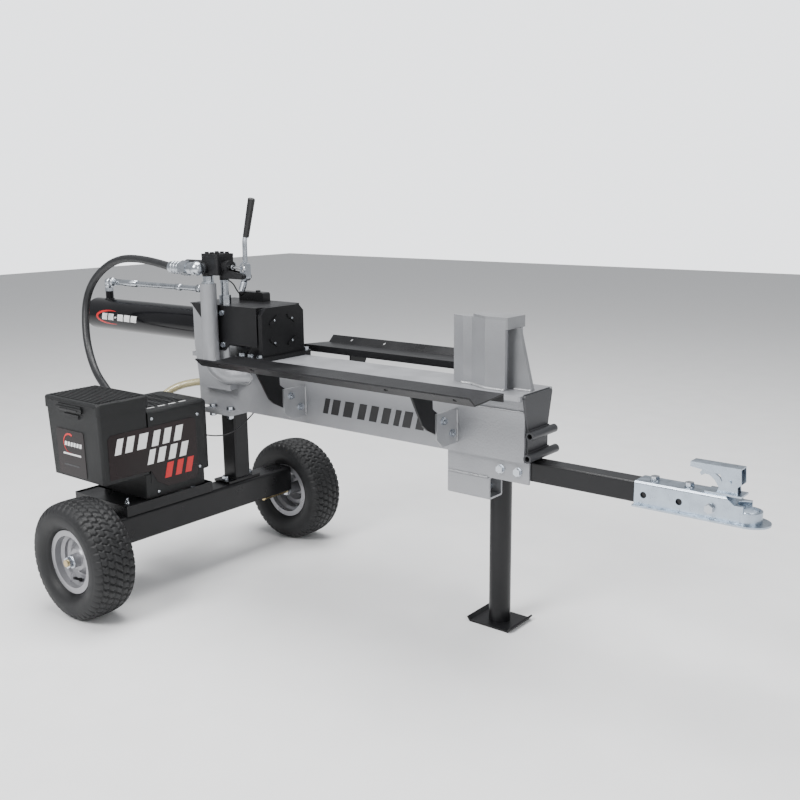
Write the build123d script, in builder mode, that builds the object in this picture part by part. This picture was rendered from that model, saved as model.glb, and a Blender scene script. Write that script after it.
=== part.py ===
from build123d import *
import math
import os

os.makedirs("parts", exist_ok=True)

# Two-wheeled towable log splitter with a battery power unit. Millimetres, +Z up.
# Parts are drawn about the axle line (X = 0), the beam's centre plane (Y = 0) and the ground (Z = 0),
# with the tow coupler at +X and the power unit at -Y, then moved to the middle of the footprint.

# ---- Driving dimensions ----
REAR_X = -698.0                  # back of the hydraulic cylinder
TIP_X = 1650.0                   # tip of the tow coupler
WHEEL_R = 165.0                  # 13 x 5.00-6 turf tyre
WHEEL_WIDTH = 127.0
NEAR_WHEEL_Y = -570.0
FAR_WHEEL_Y = 249.0
SPINDLE_R = 10.0
AXLE_HALF = 40.0
AXLE_BOTTOM = WHEEL_R + SPINDLE_R
AXLE_TOP = AXLE_BOTTOM + 2 * AXLE_HALF
POST_X = -4.5
POST_HALF = 30.0
BEAM_REAR = -98.0
BEAM_FRONT = 1079.0
BEAM_BOTTOM = 495.0
FLANGE_BOTTOM = 651.0
FLANGE_TOP = 663.0
FLANGE_HALF = 79.0
TANK_HALF = 46.0
BOXING_HALF = 53.0
BOXING_TOP = 618.0
CYLINDER_Z = 736.0
BARREL_R = 53.0
BORE_R = 47.0
ROD_R = 22.5
MOUNT_INNER = 79.0               # side plates that carry the cylinder
MOUNT_OUTER = 85.0
GUARD_OUTER = 88.0
GUARD_TOP = 816.0
PUSHER_FACE_X = 225.0
KNIFE_X = 836.0
WEDGE_TOP = 834.0
TRAY_REAR = 165.0
TRAY_FRONT = 1077.0
FAR_TRAY_FRONT = 878.0
DRAWBAR_HALF = 25.0
DRAWBAR_Z = 469.0
JACK_X = 928.0
JACK_Y = 85.0
JACK_PIVOT_Z = 386.0
JACK_R = 29.0
VALVE_Y = -89.0
SPOOL_Z = 929.0
LEVER_X = 170.0
LEVER_PIVOT_Z = 905.0
RISER_X = 34.0
RISER_Y = -113.0
NIPPLE_X = 46.0
NIPPLE_Y = -60.0
BOX_FACE_X = 30.0                # front face of the power unit
LID_HINGE_Y = -347.0
LID_HINGE_Z = 552.0
BALL_X = 1600.0
BALL_Z = 468.0
LATCH_X = 1563.0
LATCH_Z = 526.0
JAW_X = 1529.0
JAW_Z = 466.0

RUN = 0.05                       # radial clearance of running fits
GAP = 0.3                        # air between faces that slide past each other

FRAME_SHIFT = Location((-(REAR_X + TIP_X) / 2, -(NEAR_WHEEL_Y + FAR_WHEEL_Y) / 2, 0))


# ---- Helpers: each adds to, or cuts from, the part being built ----
def slab(xs, ys, zs, mode=Mode.ADD):
    """Square-edged block between pairs of limits."""
    with BuildSketch(Plane.XY.offset(min(zs))) as footprint:
        with Locations(((xs[0] + xs[1]) / 2, (ys[0] + ys[1]) / 2)):
            Rectangle(abs(xs[1] - xs[0]), abs(ys[1] - ys[0]))
    extrude(footprint.sketch, amount=abs(zs[1] - zs[0]), mode=mode)


def rod(start, direction, radius, length, mode=Mode.ADD):
    """Round bar from a start point along a direction."""
    with BuildSketch(Plane(origin=start, z_dir=direction)) as disc:
        Circle(radius)
    extrude(disc.sketch, amount=length, mode=mode)


def pipe(start, direction, radius, wall, length):
    """Open tube from a start point along a direction."""
    with BuildSketch(Plane(origin=start, z_dir=direction)) as ring:
        Circle(radius)
        Circle(radius - wall, mode=Mode.SUBTRACT)
    extrude(ring.sketch, amount=length)


def hexagon(start, direction, across_flats, length, hole_r=0.0):
    """Hexagonal nut or head from a start point along a direction."""
    with BuildSketch(Plane(origin=start, z_dir=direction)) as flats:
        RegularPolygon(across_flats / 2, 6, major_radius=False)
        if hole_r:
            Circle(hole_r, mode=Mode.SUBTRACT)
    extrude(flats.sketch, amount=length)


def plate_xz(points, y_from, y_to, mode=Mode.ADD, corner=0.0):
    """Plate with its outline in X and Z, between two Y values."""
    with BuildSketch(Plane(origin=(0, min(y_from, y_to), 0), x_dir=(1, 0, 0), z_dir=(0, -1, 0))) as outline:
        with BuildLine():
            Polyline(*points, close=True)
        make_face()
        if corner:
            fillet(outline.vertices(), corner)
    extrude(outline.sketch, amount=-abs(y_to - y_from), mode=mode)


def plate_yz(points, x_from, x_to, mode=Mode.ADD, corner=0.0):
    """Plate with its outline in Y and Z, between two X values."""
    with BuildSketch(Plane.YZ.offset(min(x_from, x_to))) as outline:
        with BuildLine():
            Polyline(*points, close=True)
        make_face()
        if corner:
            fillet(outline.vertices(), corner)
    extrude(outline.sketch, amount=abs(x_to - x_from), mode=mode)


def plate_xy(points, z_from, z_to, mode=Mode.ADD, corner=0.0):
    """Plate with its outline in X and Y, between two Z values."""
    with BuildSketch(Plane.XY.offset(min(z_from, z_to))) as outline:
        with BuildLine():
            Polyline(*points, close=True)
        make_face()
        if corner:
            fillet(outline.vertices(), corner)
    extrude(outline.sketch, amount=abs(z_to - z_from), mode=mode)


def square_tube(plane, half, wall, length, corner):
    """Square tube with rounded corners, extruded along a plane's normal."""
    with BuildSketch(plane) as section:
        RectangleRounded(2 * half, 2 * half, corner)
        RectangleRounded(2 * (half - wall), 2 * (half - wall), corner / 2, mode=Mode.SUBTRACT)
    extrude(section.sketch, amount=length)


def bolt(head, direction, shank_r, grip, across_flats, tail=4.0):
    """Hex bolt whose head seats at `head`; a washer and nut close the far end of its grip."""
    axis = Vector(*direction).normalized()
    seat = Vector(*head)
    nut = seat + axis * grip
    height = 1.3 * shank_r
    rod(tuple(seat - axis * 2), direction, across_flats * 0.62, 2)
    hexagon(tuple(seat - axis * (2 + height)), direction, across_flats, height)
    rod(tuple(seat), direction, shank_r, grip + height + tail)
    rod(tuple(nut), direction, across_flats * 0.62, 2)
    hexagon(tuple(nut + axis * 2), direction, across_flats, height)


def mirrored(points, side):
    """Outline points with Y multiplied by the side."""
    return [(side * y, z) for y, z in points]


def save(part, name):
    """Move a finished sub-part into the shared frame and write its STEP file."""
    placed = part.moved(FRAME_SHIFT)
    placed.label = name
    export_step(placed, f"parts/{name}.step")


# ---- Axle, post and their fasteners ----
TUBE_WALL = 4.0
AXLE_NEAR_Y = -470.0
AXLE_FAR_Y = 194.0
BASE_FLANGE = 8.0
SADDLE = 8.0
M12_R = 6.0
M12_FLATS = 18.0
HOLE_SLACK = 0.3
BASE_BOLT_Y = 48.0
SADDLE_BOLT_X = (-28.0, 50.0)
SADDLE_BOLT_Y = 65.0
POST_FLANGE_TOP = BEAM_BOTTOM - SADDLE
POST_FLANGE_BOTTOM = POST_FLANGE_TOP - SADDLE
DRAWBAR_BOLT_X = (1000.0, 1050.0)
DRAWBAR_BOLT_Z = 464.5
BRACKET_HALF = 31.0
SHELL_HALF = 30.0
SHELL_BOTTOM = 444.0
SHELL_TOP = 497.0
COUPLER_BOLT_X = (1390.0, 1470.0)
TRAY_BASE_BOLTS = ((-10.0, -392.0), (-10.0, -170.0))
UNIT_FLOOR = 3.0

with BuildPart() as axle_tube:
    axle_centre_z = (AXLE_BOTTOM + AXLE_TOP) / 2
    axle_plane = Plane(origin=(0, AXLE_NEAR_Y, axle_centre_z), z_dir=(0, 1, 0))
    square_tube(axle_plane, AXLE_HALF, TUBE_WALL, AXLE_FAR_Y - AXLE_NEAR_Y, 8)
    # welded end caps
    slab((-34, 34), (AXLE_NEAR_Y, AXLE_NEAR_Y + 3), (AXLE_BOTTOM + 6, AXLE_TOP - 6))
    slab((-34, 34), (AXLE_FAR_Y - 3, AXLE_FAR_Y), (AXLE_BOTTOM + 6, AXLE_TOP - 6))
    # holes for the post's base bolts and the power unit's bolts
    for side in (-1, 1):
        rod((POST_X, side * BASE_BOLT_Y, AXLE_TOP - 10), (0, 0, 1), M12_R + HOLE_SLACK, 20, Mode.SUBTRACT)
    for x, y in TRAY_BASE_BOLTS:
        rod((x, y, AXLE_TOP - 10), (0, 0, 1), M12_R + HOLE_SLACK, 20, Mode.SUBTRACT)
    # drain hole in the underside
    rod((0, -140, AXLE_BOTTOM - 2), (0, 0, 1), 5, 10, Mode.SUBTRACT)

HUB_HALF = 38.0
SPINDLE_OVERHANG = 57.0
SPINDLE_INBOARD = 145.0

with BuildPart() as axle_spindles:
    for centre, outward in ((NEAR_WHEEL_Y, -1), (FAR_WHEEL_Y, 1)):
        rod((0, centre + outward * SPINDLE_OVERHANG, WHEEL_R), (0, -outward, 0), SPINDLE_R,
            SPINDLE_OVERHANG + SPINDLE_INBOARD)

with BuildPart() as wheel_nuts:
    for centre, outward in ((NEAR_WHEEL_Y, -1), (FAR_WHEEL_Y, 1)):
        outer_face = centre + outward * (HUB_HALF + GAP)
        inner_face = centre - outward * (HUB_HALF + GAP)
        hole = SPINDLE_R + 0.02
        with BuildSketch(Plane(origin=(0, outer_face, WHEEL_R), z_dir=(0, outward, 0))) as washer:
            Circle(17)
            Circle(hole, mode=Mode.SUBTRACT)
        extrude(washer.sketch, amount=3)
        hexagon((0, outer_face + outward * 3, WHEEL_R), (0, outward, 0), 28, 11, hole)
        with BuildSketch(Plane(origin=(0, inner_face, WHEEL_R), z_dir=(0, -outward, 0))) as collar:
            Circle(16)
            Circle(hole, mode=Mode.SUBTRACT)
        extrude(collar.sketch, amount=8)

with BuildPart() as post:
    post_foot = AXLE_TOP + BASE_FLANGE
    square_tube(Plane(origin=(POST_X, 0, post_foot), z_dir=(0, 0, 1)), POST_HALF, TUBE_WALL,
                POST_FLANGE_BOTTOM - post_foot, 7)
    # foot flange bolted to the axle
    slab((POST_X - 35, POST_X + 35), (-64, 64), (AXLE_TOP, post_foot))
    for side in (-1, 1):
        rod((POST_X, side * BASE_BOLT_Y, AXLE_TOP - 1), (0, 0, 1), M12_R + HOLE_SLACK, 12, Mode.SUBTRACT)

with BuildPart() as post_head_plate:
    slab((-45, 66), (-80, 80), (POST_FLANGE_BOTTOM, POST_FLANGE_TOP))
    for side in (-1, 1):
        for x in SADDLE_BOLT_X:
            rod((x, side * SADDLE_BOLT_Y, POST_FLANGE_BOTTOM - 1), (0, 0, 1), M12_R + HOLE_SLACK, 12,
                Mode.SUBTRACT)

with BuildPart() as m12_bolts:
    for side in (-1, 1):
        bolt((POST_X, side * BASE_BOLT_Y, AXLE_TOP + BASE_FLANGE), (0, 0, -1), M12_R,
             BASE_FLANGE + TUBE_WALL, M12_FLATS)
        for x in SADDLE_BOLT_X:
            bolt((x, side * SADDLE_BOLT_Y, BEAM_BOTTOM), (0, 0, -1), M12_R, 2 * SADDLE, M12_FLATS)
    for x, y in TRAY_BASE_BOLTS:
        bolt((x, y, AXLE_TOP + UNIT_FLOOR), (0, 0, -1), M12_R, UNIT_FLOOR + TUBE_WALL, M12_FLATS)
    for x in DRAWBAR_BOLT_X:
        bolt((x, -BRACKET_HALF, DRAWBAR_BOLT_Z), (0, 1, 0), M12_R, 2 * BRACKET_HALF, M12_FLATS)
    for x in COUPLER_BOLT_X:
        bolt((x, 0, SHELL_TOP), (0, 0, -1), M12_R, SHELL_TOP - SHELL_BOTTOM, M12_FLATS)
    bolt((JAW_X, -SHELL_HALF, JAW_Z), (0, 1, 0), M12_R, 2 * SHELL_HALF, M12_FLATS)

# ---- Beam: wear flange, hollow body that holds the oil, boxing plates ----
TANK_WALL = 6.0
RETURN_X = 106.0                 # where the return pipe meets the beam
RETURN_Z = 604.0
RETURN_HOLE_R = 17.0
SUCTION_Y = -15.0
SUCTION_Z = 556.0
SUCTION_BARB_R = 9.0

with BuildPart() as beam_flange:
    slab((BEAM_REAR, BEAM_FRONT), (-FLANGE_HALF, FLANGE_HALF), (FLANGE_BOTTOM, FLANGE_TOP))
    chamfer(beam_flange.edges().filter_by(Axis.Z), 4)

with BuildPart() as beam_tank:
    slab((BEAM_REAR, BEAM_FRONT), (-TANK_HALF, TANK_HALF), (BEAM_BOTTOM, FLANGE_BOTTOM))
    slab((BEAM_REAR + TANK_WALL, BEAM_FRONT + 1), (-TANK_HALF + TANK_WALL, TANK_HALF - TANK_WALL),
         (BEAM_BOTTOM + TANK_WALL, FLANGE_BOTTOM - TANK_WALL), Mode.SUBTRACT)
    slab((-45, 66), (-80, 80), (POST_FLANGE_TOP, BEAM_BOTTOM))
    for side in (-1, 1):
        for x in SADDLE_BOLT_X:
            rod((x, side * SADDLE_BOLT_Y, POST_FLANGE_TOP - 1), (0, 0, 1), M12_R + HOLE_SLACK, 12,
                Mode.SUBTRACT)
    rod((BEAM_REAR - 1, SUCTION_Y, SUCTION_Z), (1, 0, 0), SUCTION_BARB_R + 0.2, TANK_WALL + 2, Mode.SUBTRACT)
    rod((RETURN_X, -TANK_HALF - 1, RETURN_Z), (0, 1, 0), RETURN_HOLE_R, TANK_WALL + 2, Mode.SUBTRACT)

with BuildPart() as beam_side_plates:
    for side in (-1, 1):
        slab((BEAM_REAR, BEAM_FRONT), (side * TANK_HALF, side * BOXING_HALF), (BEAM_BOTTOM, BOXING_TOP))
    rod((RETURN_X, -BOXING_HALF - 1, RETURN_Z), (0, 1, 0), RETURN_HOLE_R, 9, Mode.SUBTRACT)

# ---- Return pipe: vertical riser with a bend into the beam's side ----
RISER_R = 24.0
RISER_WALL = 3.5
RISER_TOP = 880.0
RISER_BEND = 62.0
run_x = RETURN_X - RISER_X
run_y = -BOXING_HALF - RISER_Y
run_length = math.hypot(run_x, run_y)
run_dir = Vector(run_x / run_length, run_y / run_length, 0)
RISER_BEYOND = 30.0              # the pipe is cut flush with the beam after the sweep


def riser_path():
    """Centre line of the riser, from its top to a point past the beam's side."""
    corner = Vector(RISER_X, RISER_Y, RETURN_Z)
    end = corner + run_dir * (run_length + RISER_BEYOND)
    return FilletPolyline((RISER_X, RISER_Y, RISER_TOP), tuple(corner), tuple(end), radius=RISER_BEND)


with BuildPart() as riser_pipe:
    with BuildLine() as riser_line:
        riser_path()
    with BuildSketch(Plane(origin=(RISER_X, RISER_Y, RISER_TOP), z_dir=(0, 0, -1))):
        Circle(RISER_R)
        Circle(RISER_R - RISER_WALL, mode=Mode.SUBTRACT)
    sweep(path=riser_line.wires()[0])
    slab((RISER_X, RETURN_X + 90), (-BOXING_HALF, 60), (RETURN_Z - 60, RETURN_Z + 60), Mode.SUBTRACT)
    # solid top that the valve adapter screws into
    rod((RISER_X, RISER_Y, RISER_TOP - 12), (0, 0, 1), RISER_R - RISER_WALL, 12)
    rod((RISER_X, RISER_Y, RISER_TOP - 13), (0, 0, 1), 8, 14, Mode.SUBTRACT)

# ---- Side plates that carry the cylinder ----
TRUNNION_X = 30.0
TRUNNION_R = 12.0
GUARD_BOLTS = ((62.0, 793.0), (62.0, 699.0))
M8_R = 4.0
M8_FLATS = 13.0
MOUNT_OUTLINE = ((-73, 808), (79, 808), (79, 560), (-57, 560), (-73, 686))

with BuildPart() as cylinder_side_plates:
    for side in (-1, 1):
        plate_xz(MOUNT_OUTLINE, side * MOUNT_INNER, side * MOUNT_OUTER)
        for x in (-54, 66):
            slab((x, x + 6), (side * BOXING_HALF, side * MOUNT_INNER), (560, 578))
        rod((TRUNNION_X, side * (MOUNT_INNER - 1), CYLINDER_Z), (0, side, 0), TRUNNION_R + RUN, 10,
            Mode.SUBTRACT)
        for x, z in GUARD_BOLTS:
            rod((x, side * (MOUNT_INNER - 1), z), (0, side, 0), M8_R + HOLE_SLACK, 10, Mode.SUBTRACT)
    # scallop where the return pipe passes the near plate
    with BuildLine() as scallop_line:
        riser_path()
    with BuildSketch(Plane(origin=(RISER_X, RISER_Y, RISER_TOP), z_dir=(0, 0, -1))):
        Circle(RISER_R + 1.5)
    sweep(path=scallop_line.wires()[0], mode=Mode.SUBTRACT)

# ---- Hydraulic cylinder ----
CAP = 26.0                       # thickness of the cylinder's domed rear cap
REAR_DOME = 20.0
GLAND_LENGTH = 60.0
GLAND_R = 56.0
PORT_X = -612.0
PORT_BOSS_TOP = 815.0
PORT_R = 7.0

with BuildPart() as cylinder_barrel:
    rod((REAR_X, 0, CYLINDER_Z), (1, 0, 0), BARREL_R, -REAR_X)
    fillet(cylinder_barrel.edges().filter_by(GeomType.CIRCLE).sort_by(Axis.X)[0], REAR_DOME)
    rod((PORT_X, 0, CYLINDER_Z), (0, 0, 1), 13, PORT_BOSS_TOP - CYLINDER_Z)
    rod((REAR_X + CAP, 0, CYLINDER_Z), (1, 0, 0), BORE_R, -REAR_X, Mode.SUBTRACT)
    rod((PORT_X, 0, CYLINDER_Z), (0, 0, 1), PORT_R, 100, Mode.SUBTRACT)

with BuildPart() as cylinder_gland:
    rod((0, 0, CYLINDER_Z), (1, 0, 0), GLAND_R, GLAND_LENGTH)
    chamfer(cylinder_gland.edges().filter_by(GeomType.CIRCLE), 2)
    for side in (-1, 1):
        rod((TRUNNION_X, 0, CYLINDER_Z), (0, side, 0), 19, MOUNT_INNER - GAP)
        rod((TRUNNION_X, 0, CYLINDER_Z), (0, side, 0), TRUNNION_R, MOUNT_OUTER - 0.5)
    rod((NIPPLE_X, NIPPLE_Y, CYLINDER_Z), (0, 0, 1), 11, 811 - CYLINDER_Z)
    rod((NIPPLE_X, NIPPLE_Y, CYLINDER_Z + 8), (0, 0, 1), PORT_R, 100, Mode.SUBTRACT)
    rod((-1, 0, CYLINDER_Z), (1, 0, 0), ROD_R + RUN, GLAND_LENGTH + 2, Mode.SUBTRACT)

PISTON_REAR = -600.0
PISTON_THICKNESS = 32.0

with BuildPart() as piston_rod:
    rod((PISTON_REAR, 0, CYLINDER_Z), (1, 0, 0), BORE_R - RUN, PISTON_THICKNESS)
    # two seal grooves
    for x in (PISTON_REAR + 7, PISTON_REAR + 21):
        with BuildSketch(Plane(origin=(x, 0, CYLINDER_Z), z_dir=(1, 0, 0))) as groove:
            Circle(BORE_R + 1)
            Circle(BORE_R - 3, mode=Mode.SUBTRACT)
        extrude(groove.sketch, amount=4, mode=Mode.SUBTRACT)
    rod((PISTON_REAR, 0, CYLINDER_Z), (1, 0, 0), ROD_R, 180 - PISTON_REAR)

# ---- Pusher that rides on the beam's flange ----
PUSHER_BOTTOM = FLANGE_TOP + GAP
BASE_TOP = FLANGE_TOP + 12.0
BASE_FRONT = 237.0
BASE_REAR = 128.0
BASE_HALF = 108.0
KEEPER_BOTTOM = 637.0
SLIDE_BOLT_X = (150.0, 186.0, 222.0)
SLIDE_BOLT_Y = 96.0
PLATE_THICKNESS = 16.0
PLATE_HALF = 85.0

with BuildPart() as pusher_plate:
    face_outline = ((-PLATE_HALF, BASE_TOP), (-PLATE_HALF, 797), (-PLATE_HALF + 19, GUARD_TOP),
                    (PLATE_HALF - 19, GUARD_TOP), (PLATE_HALF, 797), (PLATE_HALF, BASE_TOP))
    plate_yz(face_outline, PUSHER_FACE_X - PLATE_THICKNESS, PUSHER_FACE_X)
    # box behind the plate that takes the piston rod, with two side ribs
    slab((180, PUSHER_FACE_X - PLATE_THICKNESS), (-40, 40), (BASE_TOP, 786))
    for side in (-1, 1):
        plate_xz(((140, BASE_TOP), (209, BASE_TOP), (209, 780), (190, 780)), side * 56, side * 66)
    # four raised gripping bars set in a cross on the pushing face
    for y, z, lean in ((-38, 778, 1), (34, 778, -1), (-38, 712, -1), (34, 712, 1)):
        with BuildSketch(Plane(origin=(PUSHER_FACE_X, y, z), z_dir=(1, 0, 0))) as bar:
            SlotOverall(42, 9, rotation=90 + 35 * lean)
        extrude(bar.sketch, amount=4)

with BuildPart() as pusher_slide:
    slab((BASE_REAR, BASE_FRONT), (-BASE_HALF, BASE_HALF), (PUSHER_BOTTOM, BASE_TOP))
    chamfer(pusher_slide.edges().filter_by(Axis.Z), 8)
    for side in (-1, 1):
        slab((BASE_REAR + 8, BASE_FRONT - 8), (side * (FLANGE_HALF + GAP), side * BASE_HALF),
             (FLANGE_BOTTOM - GAP, PUSHER_BOTTOM))
        slab((BASE_REAR + 8, BASE_FRONT - 8), (side * 60, side * BASE_HALF),
             (KEEPER_BOTTOM, FLANGE_BOTTOM - GAP))
        for x in SLIDE_BOLT_X:
            rod((x, side * SLIDE_BOLT_Y, KEEPER_BOTTOM - 1), (0, 0, 1), 5.3, 50, Mode.SUBTRACT)

with BuildPart() as pusher_bolts:
    for side in (-1, 1):
        for x in SLIDE_BOLT_X:
            bolt((x, side * SLIDE_BOLT_Y, BASE_TOP), (0, 0, -1), 5, BASE_TOP - KEEPER_BOTTOM, 16, 2)

# ---- Guard over the cylinder head, with the switch box on top ----
GUARD_FRONT = 206.0
SKIRT_OUTLINE = ((-75, 813), (GUARD_FRONT, 813), (GUARD_FRONT, 702), (88, 702), (66, 682),
                 (-5, 682), (-5, 745))

with BuildPart() as guard_cover:
    slab((-80, GUARD_FRONT), (-GUARD_OUTER, GUARD_OUTER), (813, GUARD_TOP))
    for side in (-1, 1):
        plate_xz(SKIRT_OUTLINE, side * MOUNT_OUTER, side * GUARD_OUTER)
        for x, z in GUARD_BOLTS:
            rod((x, side * (MOUNT_OUTER - 1), z), (0, side, 0), M8_R + HOLE_SLACK, 6, Mode.SUBTRACT)
    rod((NIPPLE_X, NIPPLE_Y, 810), (0, 0, 1), 10.5, 10, Mode.SUBTRACT)

SWITCH_X = (-8.0, 98.0)
SWITCH_Y = (44.0, 74.0)
SWITCH_TOP = 843.0

with BuildPart() as switch_box:
    slab(SWITCH_X, SWITCH_Y, (GUARD_TOP, SWITCH_TOP))
    fillet(switch_box.edges().filter_by(Axis.Y).group_by(Axis.Z)[-1], 7)
    slab((SWITCH_X[0] + 3, SWITCH_X[1] - 3), (SWITCH_Y[0] + 3, SWITCH_Y[1] - 3), (GUARD_TOP, SWITCH_TOP - 4),
         Mode.SUBTRACT)
    hexagon((62, 59, SWITCH_TOP), (0, 0, 1), 13, 5)

# ---- Log cradles ----
TRAY_SECTION = ((143, 662), (143, 682), (260, 675), (281, 694.5), (284, 691.5), (261.5, 671), (147, 677.9),
                (147, 662))
NEAR_LIP_HOLES = (250.0, 382.0, 835.0, 1032.0)
FAR_LIP_HOLES = (250.0, 382.0, 835.0)
BRACKET_PLANES = (354.0, 878.0)  # gussets sit behind these planes, brackets in front
BRACKET_SECTION = ((53, 519), (115, 519), (139, 541), (139, 606), (53, 606))
GUSSET_SECTION = ((150, 677.6), (236, 672.4), (201, 609), (187, 585), (169, 570), (135, 553), (112, 535),
                  (62, 530), (62, 600), (125, 603), (148, 620))
TRAY_BOLTS = ((114.0, 585.0), (78.0, 548.0))
GUSSET_THICKNESS = 6.0


def cradle(side, front, holes):
    """One folded steel cradle with holes in its raised outer lip."""
    plate_yz(mirrored(TRAY_SECTION, side), TRAY_REAR, front)
    for x in holes:
        rod((x, side * 265, 692), (0, side * 0.7, -0.73), 5.5, 20, Mode.SUBTRACT)


with BuildPart() as near_tray:
    cradle(-1, TRAY_FRONT, NEAR_LIP_HOLES)

with BuildPart() as far_tray:
    cradle(1, FAR_TRAY_FRONT, FAR_LIP_HOLES)

with BuildPart() as tray_gussets:
    for x in BRACKET_PLANES:
        for side in (-1, 1):
            plate_yz(mirrored(GUSSET_SECTION, side), x - GUSSET_THICKNESS, x)
            for y, z in TRAY_BOLTS:
                rod((x - 10, side * y, z), (1, 0, 0), 5.3, 20, Mode.SUBTRACT)

with BuildPart() as tray_brackets:
    for x in BRACKET_PLANES:
        for side in (-1, 1):
            plate_yz(mirrored(BRACKET_SECTION, side), x, x + GUSSET_THICKNESS)
            for y, z in TRAY_BOLTS:
                rod((x - 1, side * y, z), (1, 0, 0), 5.3, 20, Mode.SUBTRACT)

with BuildPart() as tray_bolts:
    for x in BRACKET_PLANES:
        for side in (-1, 1):
            for y, z in TRAY_BOLTS:
                bolt((x - GUSSET_THICKNESS, side * y, z), (1, 0, 0), 5, 2 * GUSSET_THICKNESS, 16)
    for side in (-1, 1):
        for x, z in GUARD_BOLTS:
            bolt((x, side * GUARD_OUTER, z), (0, -side, 0), M8_R, GUARD_OUTER - MOUNT_INNER, M8_FLATS, 2)

# ---- Splitting wedge ----
KNIFE_HALF = 12.5
KNIFE_REAR = 1000.0
WING_HALF = 40.0
WING_REAR = 1014.0
WING_START = 899.0
WING_KNEE = 956.0
WING_THICKNESS = 9.0
BEVEL_X = 872.0

with BuildPart() as wedge_knife:
    plate_xy(((KNIFE_X, -1), (BEVEL_X, -KNIFE_HALF), (KNIFE_REAR, -KNIFE_HALF), (KNIFE_REAR, KNIFE_HALF),
              (BEVEL_X, KNIFE_HALF), (KNIFE_X, 1)), FLANGE_TOP, WEDGE_TOP)

with BuildPart() as wedge_wings:
    for side in (-1, 1):
        wing = ((WING_START, side * KNIFE_HALF), (WING_KNEE, side * WING_HALF), (WING_REAR, side * WING_HALF),
                (WING_REAR, side * (WING_HALF - WING_THICKNESS)),
                (WING_KNEE + 2, side * (WING_HALF - WING_THICKNESS)),
                (WING_START + 21, side * KNIFE_HALF))
        plate_xy(wing, FLANGE_TOP, WEDGE_TOP)

with BuildPart() as wedge_backing:
    cap = ((WING_START + 4, -KNIFE_HALF), (WING_KNEE, -WING_HALF), (WING_REAR + 6, -WING_HALF),
           (WING_REAR + 6, WING_HALF), (WING_KNEE, WING_HALF), (WING_START + 4, KNIFE_HALF))
    plate_xy(cap, WEDGE_TOP, WEDGE_TOP + 7)
    slab((WING_REAR, WING_REAR + 6), (-WING_HALF, WING_HALF), (812, WEDGE_TOP))
    plate_xz(((KNIFE_REAR, FLANGE_TOP), (1070, FLANGE_TOP), (1032, 812), (KNIFE_REAR, 812)), -6, 6)

# ---- Front end of the beam ----
END_PLATE_X = 1086.0
END_OUTLINE = ((-66, 662.5), (66, 662.5), (46, 577), (46, 497), (-46, 497), (-46, 577))
SOCKET_R = 10.5
SOCKET_BORE = 6.5
SOCKETS = ((565.0, 58.0), (512.0, 68.0))

with BuildPart() as end_plate:
    plate_yz(END_OUTLINE, BEAM_FRONT, END_PLATE_X)
    fillet(end_plate.edges().filter_by(Axis.X).group_by(Axis.Z)[-1], 7)

with BuildPart() as socket_tubes:
    for z, half_length in SOCKETS:
        pipe((END_PLATE_X + SOCKET_R, -half_length, z), (0, 1, 0), SOCKET_R, SOCKET_R - SOCKET_BORE,
             2 * half_length)

with BuildPart() as drawbar_plates:
    for side in (-1, 1):
        slab((839, 1081), (side * DRAWBAR_HALF, side * BRACKET_HALF), (436, BEAM_BOTTOM))
        for x in DRAWBAR_BOLT_X:
            rod((x, side * (DRAWBAR_HALF - 1), DRAWBAR_BOLT_Z), (0, side, 0), M12_R + HOLE_SLACK, 10,
                Mode.SUBTRACT)

SOCKET_HALF = 30.0
SOCKET_BOTTOM = 376.0
PIVOT_R = 8.0

with BuildPart() as jack_socket:
    square_tube(Plane(origin=(838, 0, SOCKET_BOTTOM + SOCKET_HALF), z_dir=(1, 0, 0)), SOCKET_HALF, 5, 128, 6)
    rod((JACK_X, SOCKET_HALF - 6, JACK_PIVOT_Z + 10), (0, 1, 0), PIVOT_R + 0.2, 8, Mode.SUBTRACT)
    # boss the leg bears against
    with BuildSketch(Plane(origin=(JACK_X, SOCKET_HALF, JACK_PIVOT_Z + 10), z_dir=(0, 1, 0))) as boss:
        Circle(15)
        Circle(PIVOT_R + 0.2, mode=Mode.SUBTRACT)
    extrude(boss.sketch, amount=JACK_Y - JACK_R - SOCKET_HALF - GAP)

# ---- Swinging jack leg ----
with BuildPart() as jack_pivot:
    pivot_z = JACK_PIVOT_Z + 10
    hexagon((JACK_X, SOCKET_HALF - 5 - 9, pivot_z), (0, 1, 0), 22, 9)
    rod((JACK_X, SOCKET_HALF - 5, pivot_z), (0, 1, 0), PIVOT_R, JACK_Y + JACK_R + 14 - SOCKET_HALF + 5)
    hexagon((JACK_X, JACK_Y + JACK_R + GAP, pivot_z), (0, 1, 0), 22, 9)

with BuildPart() as jack_leg:
    pipe((JACK_X, JACK_Y, 5), (0, 0, 1), JACK_R, 3.5, 427)
    rod((JACK_X, JACK_Y, 428), (0, 0, 1), JACK_R, 4)
    pipe((JACK_X, JACK_Y - JACK_R + 2, JACK_PIVOT_Z + 10), (0, 1, 0), 13, 13 - PIVOT_R - RUN, 2 * JACK_R - 4)
    rod((JACK_X, JACK_Y - 40, JACK_PIVOT_Z + 10), (0, 1, 0), PIVOT_R + RUN, 80, Mode.SUBTRACT)

with BuildPart() as jack_foot:
    with BuildSketch(Plane(origin=(0, JACK_Y - 55, 0), x_dir=(1, 0, 0), z_dir=(0, -1, 0))) as foot_section:
        with BuildLine():
            Polyline((JACK_X - 70, 12), (JACK_X - 60, 0), (JACK_X + 60, 0), (JACK_X + 70, 12),
                     (JACK_X + 66, 15), (JACK_X + 57.5, 5), (JACK_X - 57.5, 5), (JACK_X - 66, 15), close=True)
        make_face()
    extrude(foot_section.sketch, amount=-110)

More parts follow.
